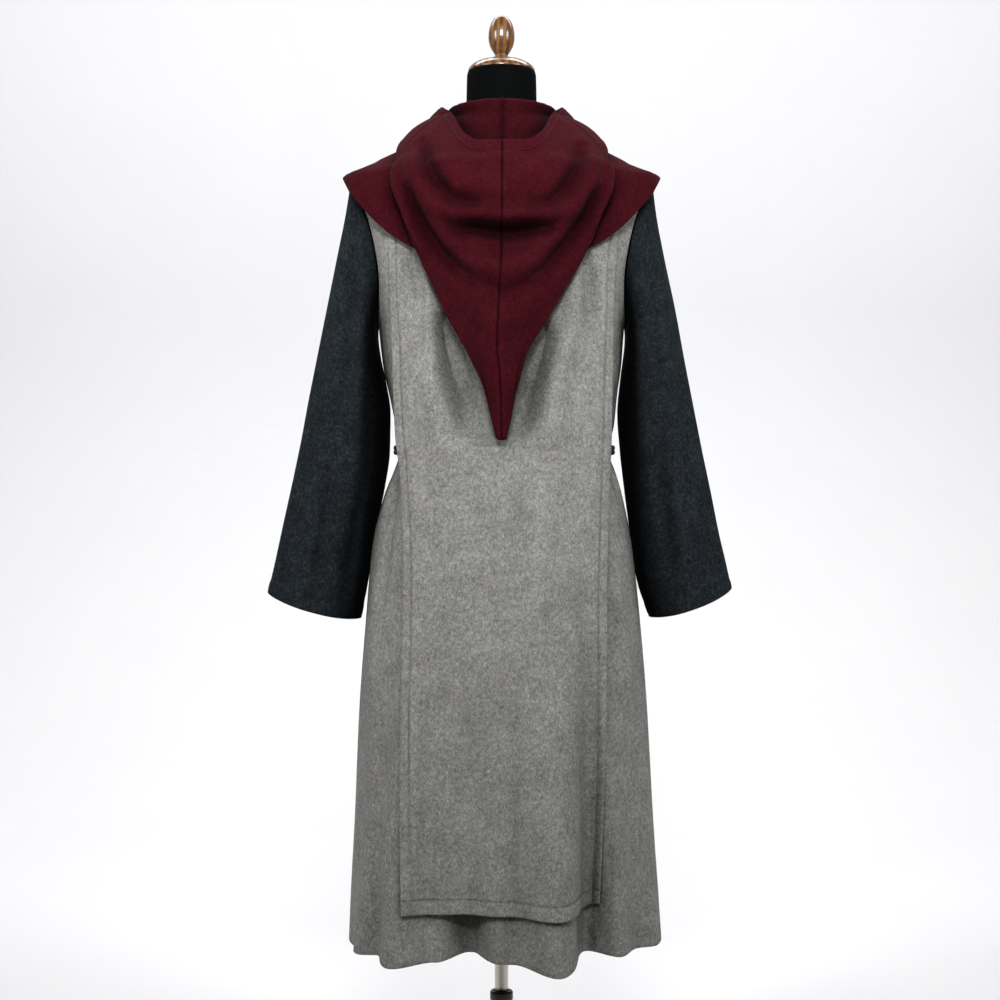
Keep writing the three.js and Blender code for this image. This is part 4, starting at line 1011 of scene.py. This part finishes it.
HOOD_BACK_FOLDS = [
    ([(170, 1560), (167, 1523), (158, 1485), (142, 1446), (124, 1412)], 11, (8, 8)),
    ([(150, 1524), (140, 1490), (127, 1458), (104, 1420), (74, 1391), (40, 1370)], -18, (10, 15)),
    ([(-171, 1568), (-168, 1527), (-158, 1482), (-140, 1438)], 11, (7, 8)),
    ([(-150, 1520), (-133, 1474), (-108, 1430), (-77, 1394), (-44, 1370)], -18, (10, 15)),
    ([(126, 1606), (118, 1566), (104, 1530), (78, 1500), (30, 1486)], -12, (11, 13)),
    ([(-128, 1600), (-120, 1556), (-101, 1518), (-73, 1490), (-36, 1482)], -11, (11, 13)),
    ([(144, 1580), (134, 1532), (112, 1492), (80, 1472)], 12, (11, 14)),
    ([(-147, 1574), (-135, 1524), (-112, 1484), (-84, 1468)], 12, (11, 14)),
    ([(92, 1476), (48, 1474), (-4, 1468), (-50, 1473), (-92, 1478)], 10, (10, 12)),
    ([(88, 1450), (44, 1452), (-4, 1445), (-48, 1450), (-90, 1454)], -24, (12, 13)),
    ([(66, 1432), (-2, 1422), (-62, 1434)], -11, (15, 17)),
    ([(60, 1526), (0, 1512), (-62, 1528)], 8, (18, 20)),
    ([(74, 1400), (0, 1386), (-70, 1398)], 7, (14, 15)),
    ([(52, 1368), (-5, 1348), (-58, 1368)], -8, (13, 13)),
    ([(44, 1320), (0, 1302), (-42, 1316)], 5, (15, 16)),
    ([(34, 1580), (30, 1558), (36, 1536)], -3, (9, 10)),
    ([(-46, 1582), (-40, 1552)], -3, (9, 9)),
    ([(32, 1290), (25, 1240), (16, 1190)], 4, (10, 8)),
    ([(-26, 1280), (-19, 1225), (-12, 1180)], 4, (9, 8)),
]


def hood_grid(way):
    heading = cape_headings(112)
    degrees = np.degrees(heading)
    column = hood_column(degrees)
    fold = hood_fold(degrees)
    neck_z = mantle_neck_z(heading)
    neck = section_radius(mantle_section(neck_z), heading) - 1
    turn_z = column["top_z"] - HOOD_TOP_TURN - 1
    turn_radius = neck + HOOD_TOP_TURN + 1

    def layer_radius(z):
        under = mantle_section(np.minimum(z - 2.4, MANTLE_NECK_Z))
        return np.maximum(section_radius(under, heading) + HOOD_OFF, turn_radius + HOOD_TOP_TURN)

    rows = [(neck, neck_z + 0.3)]
    rooms = []
    for share in np.linspace(0.15, 0.85, 5):
        rise_r = (turn_radius - HOOD_TOP_TURN - neck) * share
        rows.append((neck + rise_r, neck_z + (turn_z - neck_z) * share))
    for turn in np.pi * (1 - np.linspace(0, 1, 9)[:-1]):
        rows.append((turn_radius + HOOD_TOP_TURN * np.cos(turn), turn_z + HOOD_TOP_TURN * np.sin(turn)))
    slope = layer_radius(fold["z"]) - layer_radius(fold["z"] + 4)
    length = np.hypot(slope, 4)
    down_r, down_z = slope / length, -4 / length
    out_r, out_z = -down_z, down_r
    layer_end_z = fold["z"] - down_z * fold["run"]
    for share in np.linspace(0, 1, 34):
        z = turn_z + (layer_end_z - turn_z) * share ** 1.5
        rows.append((layer_radius(z), z))
    end_r, end_z = rows[-1]
    for turn in np.linspace(0, np.pi, 10)[1:-1]:
        out = HOOD_POINT_TURN * (1 - np.cos(turn))
        run = fold["run"] * np.sin(turn)
        rows.append((end_r + out * out_r + run * down_r, end_z + out * out_z + run * down_z))
    start_r = end_r + 2 * HOOD_POINT_TURN * out_r
    start_z = end_z + 2 * HOOD_POINT_TURN * out_z
    first_outer = len(rows)
    start_gap = start_r - layer_radius(start_z)
    rim_gap = column["rim_radius"] - layer_radius(column["rim_z"])
    for share in np.concatenate([np.linspace(0, 0.915, 92), 1 - RIM_ROWS / RIM_REACH]):
        z = start_z + (column["rim_z"] - start_z) * share
        gap = start_gap + (rim_gap - start_gap) * share + column["puff"] * np.sin(np.pi * share)
        rows.append((layer_radius(z) + gap, z))
        rooms.append(np.broadcast_to(gap - 2 * WOOL, heading.shape)[0])
    radius = np.stack([np.broadcast_to(r, heading.shape)[0] for r, z in rows])
    height = np.stack([np.broadcast_to(z, heading.shape)[0] for r, z in rows])
    # The hood hangs to one side behind, and its rim dips evenly over both shoulders.
    behind = np.sin(heading) > 0
    sway = np.where(behind, hood_sway(np.clip(height, HOOD_POINT_Z, HOOD_RIM_Z))["x"], 0)
    grid = np.stack([way * radius * np.cos(heading) + sway, radius * np.sin(heading), height], -1)
    outer = np.arange(len(rows))[:, None] >= first_outer
    share = np.cumsum(np.where(outer, np.linalg.norm(np.gradient(grid, axis=0), axis=-1), 0), 0)
    to_rim = share[-1:] - share
    free = smooth_step(0, 26, share) * outer
    behind_push = laid_folds(HOOD_BACK_FOLDS, grid[..., 0], grid[..., 2])
    push = np.where(behind, behind_push, 0) * smooth_step(0, 0.25, np.sin(heading))
    push += 0.8 * hanging_drift(grid[..., 0] * 1.1 + 60, grid[..., 2] * 0.9)
    # No fold goes deeper than the hollow between this layer and the one under it.
    rooms = np.concatenate([np.zeros((first_outer, heading.shape[1])), rooms])
    push = np.maximum(push * free, -np.maximum(rooms, 0))
    push += 0.5 * hem_profile(to_rim, HEM_TURN) * outer * smooth_step(30, 60, share[-1:])
    push += seam_profile(np.abs(radius * np.cos(heading)))
    grid[..., 0] += way * SEAM_HALF
    # The rows run up the outer layer, so these normals face into the hood's hollow.
    normals = grid_normals(grid) * -way
    grid += normals * (1 - push)[..., None]
    return grid, normals


burgundy_thread = thread("burgundy_thread", (0.05, 0.008, 0.013))
for way, part in ((1, "left"), (-1, "right")):
    grid, normals = hood_grid(way)
    half = cloth_wall(f"cloth_hood_{part}", grid, burgundy_wool, way=-way)
    takes_over(half, f"hood_{part}")
    row = len(grid) - 10
    seam = stitch_row(
        f"stitches_hood_{part}", [grid[row] - 2.15 * normals[row]], [-normals[row]], burgundy_thread,
    )
    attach(seam, "form")

# ---------------------------------------------------------------------------
# Dress form. A limbless padded torso under tight black jersey, closed at the neck
# by a turned and varnished wooden cap with an egg-shaped finial screwed in, and
# below by a board.
# ---------------------------------------------------------------------------
jersey = grained(
    "black_jersey", 1500, [(0.3, (0.0010, 0.0013, 0.0014)), (0.75, (0.0024, 0.0030, 0.0032))], 0.8,
    stretch=(1, 1, 0.5), fineness=0.6, relief=(0.0003, 0.4), specular=0.02,
)

FORM_BASE_Z = 850
FORM_NECK_Z = 1736  # the jersey ends here, under the wooden cap
form_section = smooth_table("z half back front square", [
    (1736, 55.6, 55.6, 55.6, 2.0), (1728, 57, 57, 57, 2.0), (1665, 58.5, 58.5, 58, 2.0),
    (1652, 60, 60, 58, 2.0), (1646, 66, 62, 58, 2.0), (1640, 80, 66, 60, 2.0),
    (1617, 117.5, 75, 64, 2.0), (1593, 167, 86, 71, 2.0), (1575, 198, 93, 77, 2.05),
    (1561, 203, 99, 82, 2.1), (1540, 200, 108, 91, 2.2), (1500, 194, 118, 101, 2.3),
    (1450, 184, 126, 111, 2.4), (1400, 176, 129, 116, 2.4), (1350, 170, 126, 112, 2.4),
    (1312, 166, 122, 110, 2.4), (1250, 155, 112, 100, 2.3), (1190, 143, 100, 92, 2.3),
    (1112, 136, 93, 87, 2.3), (1060, 143, 98, 90, 2.3), (1000, 158, 110, 97, 2.3),
    (940, 167, 118, 102, 2.3), (880, 168, 118, 101, 2.3), (850, 165, 114, 98, 2.3),
])


# A closed body from rings of points, capped flat at both ends.
def ringed_body(name, rings, material):
    count = len(rings[0])
    middles = [ring.mean(0) for ring in (rings[0], rings[-1])]
    points = np.concatenate(list(rings) + [np.array(middles)]) * MM
    faces = []
    for low in range(0, (len(rings) - 1) * count, count):
        for k in range(count):
            after = (k + 1) % count
            faces.append((low + k, low + after, low + count + after, low + count + k))
    top = (len(rings) - 1) * count
    for k in range(count):
        after = (k + 1) % count
        faces.append((len(points) - 2, after, k))
        faces.append((len(points) - 1, top + k, top + after))
    mesh = bpy.data.meshes.new(name)
    mesh.from_pydata(points.tolist(), [], faces)
    face_outwards(mesh)
    mesh.materials.append(material)
    return place_piece(name, mesh)


around = np.linspace(0, 2 * np.pi, 120, endpoint=False)
torso_heights = np.concatenate([
    np.linspace(FORM_BASE_Z, 1640, 120), np.linspace(1644, FORM_NECK_Z - 3, 36),
    FORM_NECK_Z - np.array([1.4, 0.4, 0]),
])
torso_rings = []
for z in torso_heights:
    ring = ring_point(form_section(z), around, z)
    ring[:, :2] *= 1 - 0.012 * smooth_step(FORM_NECK_Z - 3, FORM_NECK_Z, z)
    ring[:, :2] *= 1 - 0.01 * (1 - smooth_step(FORM_BASE_Z, FORM_BASE_Z + 3, z))
    torso_rings.append(ring)
torso = ringed_body("jersey_torso", torso_rings, jersey)
takes_over(torso, "form_torso")

# Varnished dark wood: rings drawn out along the grain, and fine pores.
wood, wood_tree, wood_shader = new_material("wood")
wood_place = wood_tree.nodes.new("ShaderNodeTexCoord").outputs["Object"]
wood_rings = wood_tree.nodes.new("ShaderNodeTexWave")
wood_rings.bands_direction = "X"
for label, value in (("Scale", 28), ("Distortion", 5), ("Detail", 2), ("Detail Scale", 1.4)):
    wood_rings.inputs[label].default_value = value
wood_tree.links.new(mapped(wood_tree, wood_place, (1, 1, 0.18)), wood_rings.inputs["Vector"])
wood_pores = noise_node(wood_tree, mapped(wood_tree, wood_place, (1, 1, 0.1)), 700, 3, 0.6)
wood_mix = math_node(
    wood_tree, "ADD", math_node(wood_tree, "MULTIPLY", wood_rings.outputs["Fac"], 0.55),
    math_node(wood_tree, "MULTIPLY", wood_pores, 0.45),
)
wood_colors = [(0.2, (0.055, 0.020, 0.006)), (0.5, (0.115, 0.048, 0.014)), (0.8, (0.185, 0.085, 0.027))]
wood_tree.links.new(ramp_node(wood_tree, wood_mix, wood_colors), wood_shader.inputs["Base Color"])
for label, value in (("Roughness", 0.3), ("Coat Weight", 0.4), ("Coat Roughness", 0.14)):
    wood_shader.inputs[label].default_value = value

board_section = form_section(FORM_BASE_Z)
for size in ("half", "back", "front"):
    board_section[size] = board_section[size] - 4
board_rings = []
for z, shrink in ((839.7, 0.985), (840.5, 0.994), (842, 1), (847.4, 1), (848.9, 0.994), (849.7, 0.985)):
    ring = ring_point(board_section, around, z)
    ring[:, :2] *= shrink
    board_rings.append(ring)
board = ringed_body("wood_board", board_rings, wood)
takes_over(board, "form_board")


# A turned piece: a smooth line through (radius, height) places swept round the axis.
def turned_body(name, places, base_z, material, count=72, steps=5):
    places = np.array(places, float)
    runs = np.concatenate([[0], np.cumsum(np.hypot(*np.diff(places, axis=0).T))])
    at = np.unique(np.concatenate([np.linspace(a, b, steps + 1) for a, b in zip(runs[:-1], runs[1:])]))
    radius, height = smooth_curve(runs, places[:, 0])(at), smooth_curve(runs, places[:, 1])(at)
    turn = np.linspace(0, 2 * np.pi, count, endpoint=False)
    rings = [
        np.stack([max(r, 0.02) * np.cos(turn), max(r, 0.02) * np.sin(turn), np.full(count, base_z + h)], -1)
        for r, h in zip(radius, height)
    ]
    return ringed_body(name, rings, material)


cap = turned_body("wood_cap", [
    (54.5, 0), (55.3, 0.8), (55, 3), (52.6, 7), (49.5, 10), (45, 13), (38, 16.2), (30, 18.5),
    (18, 20.5), (16, 20.5),
], 1736.3, wood)
takes_over(cap, "form_cap")
finial = turned_body("wood_finial", [
    (16.4, 0), (17, 0.5), (14.2, 1.8), (12, 3.5), (10.6, 5), (10.9, 7), (12, 9), (14.4, 12.5),
    (17.1, 17), (19.4, 22), (21, 28.5), (21.7, 35), (21.6, 41), (20.9, 47), (19.6, 53), (17.6, 58.5),
    (14.6, 64), (10.4, 68.8), (5.2, 71.4), (0.5, 72),
], 1757.1, wood)
takes_over(finial, "form_finial")

# ---------------------------------------------------------------------------
# Stand. A nickelled steel pole with a key groove, fixed to the board by a plastic
# socket, telescopes through a plastic bush in a tube on a heavy round plate.
# ---------------------------------------------------------------------------
nickel = grained(
    "nickel", 300, [(0.3, (0.50, 0.47, 0.41)), (0.7, (0.58, 0.55, 0.49))], 0.34, stretch=(1, 1, 0.05),
)
nickel.node_tree.nodes["Principled BSDF"].inputs["Metallic"].default_value = 1
plastic = grained(
    "dark_plastic", 1200, [(0.3, (0.008, 0.007, 0.007)), (0.7, (0.014, 0.012, 0.011))], 0.42,
    relief=(0.0002, 0.3),
)


# A straight length of one outline, with its ends slightly eased.
def bar(name, outline, low, high, ease, material):
    rings = []
    for z, inset in ((low, ease), (low + ease, 0), (high - ease, 0), (high, ease)):
        ring = np.concatenate([outline, np.zeros((len(outline), 1))], 1)
        ring[:, :2] *= 1 - inset / np.linalg.norm(outline, axis=1).max()
        ring[:, 2] = z
        rings.append(ring)
    return ringed_body(name, rings, material)


POLE_RADIUS = 11.2
POLE_FOOT_Z = 20
SOCKET_BORE = 11.5
SOCKET_RADIUS = 30
SOCKET_FOOT_Z = 809.4
SOCKET_TOP_Z = 839.4
BUSH_BORE = 11.55
BUSH_FOOT_Z = 208
BUSH_TOP_Z = 221
TUBE_BORE = 17.5
TUBE_RADIUS = 19
TUBE_FOOT_Z = 10.3
TUBE_TOP_Z = 207.7
PLATE_RADIUS = 195
PLATE_THICKNESS = 10

# The key groove is 4 mm wide and 2.5 mm deep, at the pole's back.
half_groove = np.arcsin(2 / POLE_RADIUS)
round_part = np.pi / 2 + half_groove + np.linspace(0, 1, 60) * (2 * np.pi - 2 * half_groove)
pole_outline = np.concatenate([
    POLE_RADIUS * np.stack([np.cos(round_part), np.sin(round_part)], -1),
    [[1.8, 8.9], [1.5, 8.7], [-1.5, 8.7], [-1.8, 8.9]],
])
pole = bar("steel_pole", pole_outline, POLE_FOOT_Z, SOCKET_TOP_Z, 0.6, nickel)
takes_over(pole, "pole")


# A ring with a bore, as a closed section swept round.
def turned_ring(name, section, material, count=72):
    turn = np.linspace(0, 2 * np.pi, count, endpoint=False)
    points = [(r * np.cos(a), r * np.sin(a), z) for a in turn for r, z in section]
    size = len(section)
    faces = []
    for here in range(0, count * size, size):
        beyond = (here + size) % (count * size)
        for s in range(size):
            after = (s + 1) % size
            faces.append((here + s, here + after, beyond + after, beyond + s))
    mesh = bpy.data.meshes.new(name)
    mesh.from_pydata((np.array(points) * MM).tolist(), [], faces)
    face_outwards(mesh)
    mesh.materials.append(material)
    piece = place_piece(name, mesh)
    bevel = piece.modifiers.new("eased", "BEVEL")
    bevel.width = 0.0006
    bevel.segments = 2
    bevel.limit_method = "ANGLE"
    return piece


socket = turned_ring("plastic_socket", [
    (SOCKET_BORE, SOCKET_FOOT_Z), (SOCKET_RADIUS, SOCKET_FOOT_Z), (SOCKET_RADIUS, SOCKET_TOP_Z - 5.4),
    (SOCKET_RADIUS - 3, SOCKET_TOP_Z), (SOCKET_BORE, SOCKET_TOP_Z),
], plastic)
takes_over(socket, "pole_socket")
bush = turned_ring("plastic_bush", [
    (BUSH_BORE, BUSH_FOOT_Z), (TUBE_RADIUS, BUSH_FOOT_Z), (TUBE_RADIUS, BUSH_TOP_Z - 2),
    (TUBE_RADIUS - 1.4, BUSH_TOP_Z), (BUSH_BORE, BUSH_TOP_Z),
], plastic)
takes_over(bush, "bush", "stand")
tube = turned_ring("steel_tube", [
    (TUBE_BORE, TUBE_FOOT_Z), (TUBE_RADIUS, TUBE_FOOT_Z), (TUBE_RADIUS, TUBE_TOP_Z),
    (TUBE_BORE, TUBE_TOP_Z),
], nickel)
takes_over(tube, "outer_tube", "stand")
plate = turned_ring("steel_plate", [
    (0.5, 0), (PLATE_RADIUS - 1.5, 0), (PLATE_RADIUS, 1.5), (PLATE_RADIUS, PLATE_THICKNESS - 4),
    (PLATE_RADIUS - 4, PLATE_THICKNESS), (0.5, PLATE_THICKNESS),
], nickel, 144)
takes_over(plate, "base_plate", "stand")

# ---------------------------------------------------------------------------
# Studio. A pale seamless floor that sweeps up behind, a small soft key light above
# the camera, a tall one at each side, a broad one that only lights the sweep, and
# the camera level at belt height.
# ---------------------------------------------------------------------------
paper = grained(
    "pale_paper", 3, [(0, (0.62, 0.62, 0.632)), (1, (0.64, 0.64, 0.65))], 0.9, specular=0.1,
)
SWEEP_BEND = 1.8  # radius of the bend between the floor and the wall, metres
SWEEP_BEND_Y = -2.4
SWEEP_REACH = 4.6
SWEEP_HALF_WIDTH = 6.0
sweep_line = [(SWEEP_REACH, 0.0), (SWEEP_BEND_Y, 0.0)]
for turn in np.linspace(0, np.pi / 2, 16)[1:]:
    sweep_line.append((SWEEP_BEND_Y - SWEEP_BEND * np.sin(turn), SWEEP_BEND - SWEEP_BEND * np.cos(turn)))
sweep_line.append((SWEEP_BEND_Y - SWEEP_BEND, SWEEP_REACH))
sweep_points = [(x, y, z) for x in (-SWEEP_HALF_WIDTH, SWEEP_HALF_WIDTH) for y, z in sweep_line]
sweep_count = len(sweep_line)
sweep_faces = [(k, k + 1, sweep_count + k + 1, sweep_count + k) for k in range(sweep_count - 1)]
sweep_mesh = bpy.data.meshes.new("studio_sweep")
sweep_mesh.from_pydata(sweep_points, [], sweep_faces)
sweep_mesh.materials.append(paper)
for polygon in sweep_mesh.polygons:
    polygon.use_smooth = True
sweep = place_piece("studio_sweep", sweep_mesh)


def soft_light(name, place, target, width, height, power, spread):
    lamp = bpy.data.lights.new(name, "AREA")
    lamp.shape = "RECTANGLE"
    lamp.size, lamp.size_y = width, height
    lamp.energy = power
    lamp.spread = np.radians(spread)
    piece = place_piece(name, lamp)
    aim = Vector(target) - Vector(place)
    piece.location = place
    piece.rotation_euler = aim.to_track_quat("-Z", "Y").to_euler()


soft_light("light_key", (0.0, 3.0, 2.8), (0, 0, 1.6), 0.8, 0.6, 14.5, 58)
soft_light("light_left", (2.3, 1.7, 2.3), (0, 0, 1.4), 0.5, 1.2, 9.0, 74)
soft_light("light_right", (-2.3, 1.7, 2.3), (0, 0, 1.4), 0.5, 1.2, 8.2, 74)
soft_light("light_floor", (0, -1.6, 4.4), (0, -3.0, 0.0), 8.0, 1.6, 350, 180)

world = bpy.data.worlds.new("studio_air")
bpy.context.scene.world = world
world.use_nodes = True
air = world.node_tree.nodes["Background"]
air.inputs["Color"].default_value = (0.93, 0.935, 0.95, 1)
air.inputs["Strength"].default_value = 0.03
bpy.context.scene.view_settings.view_transform = "Standard"

eye = bpy.data.cameras.new("camera")
eye.lens = 65.45
eye.sensor_width = 36
camera = place_piece("camera", eye)
camera.location = (0.0025, 3.0, 1.03)
camera.rotation_euler = (np.pi / 2, 0, np.pi)
bpy.context.scene.camera = camera
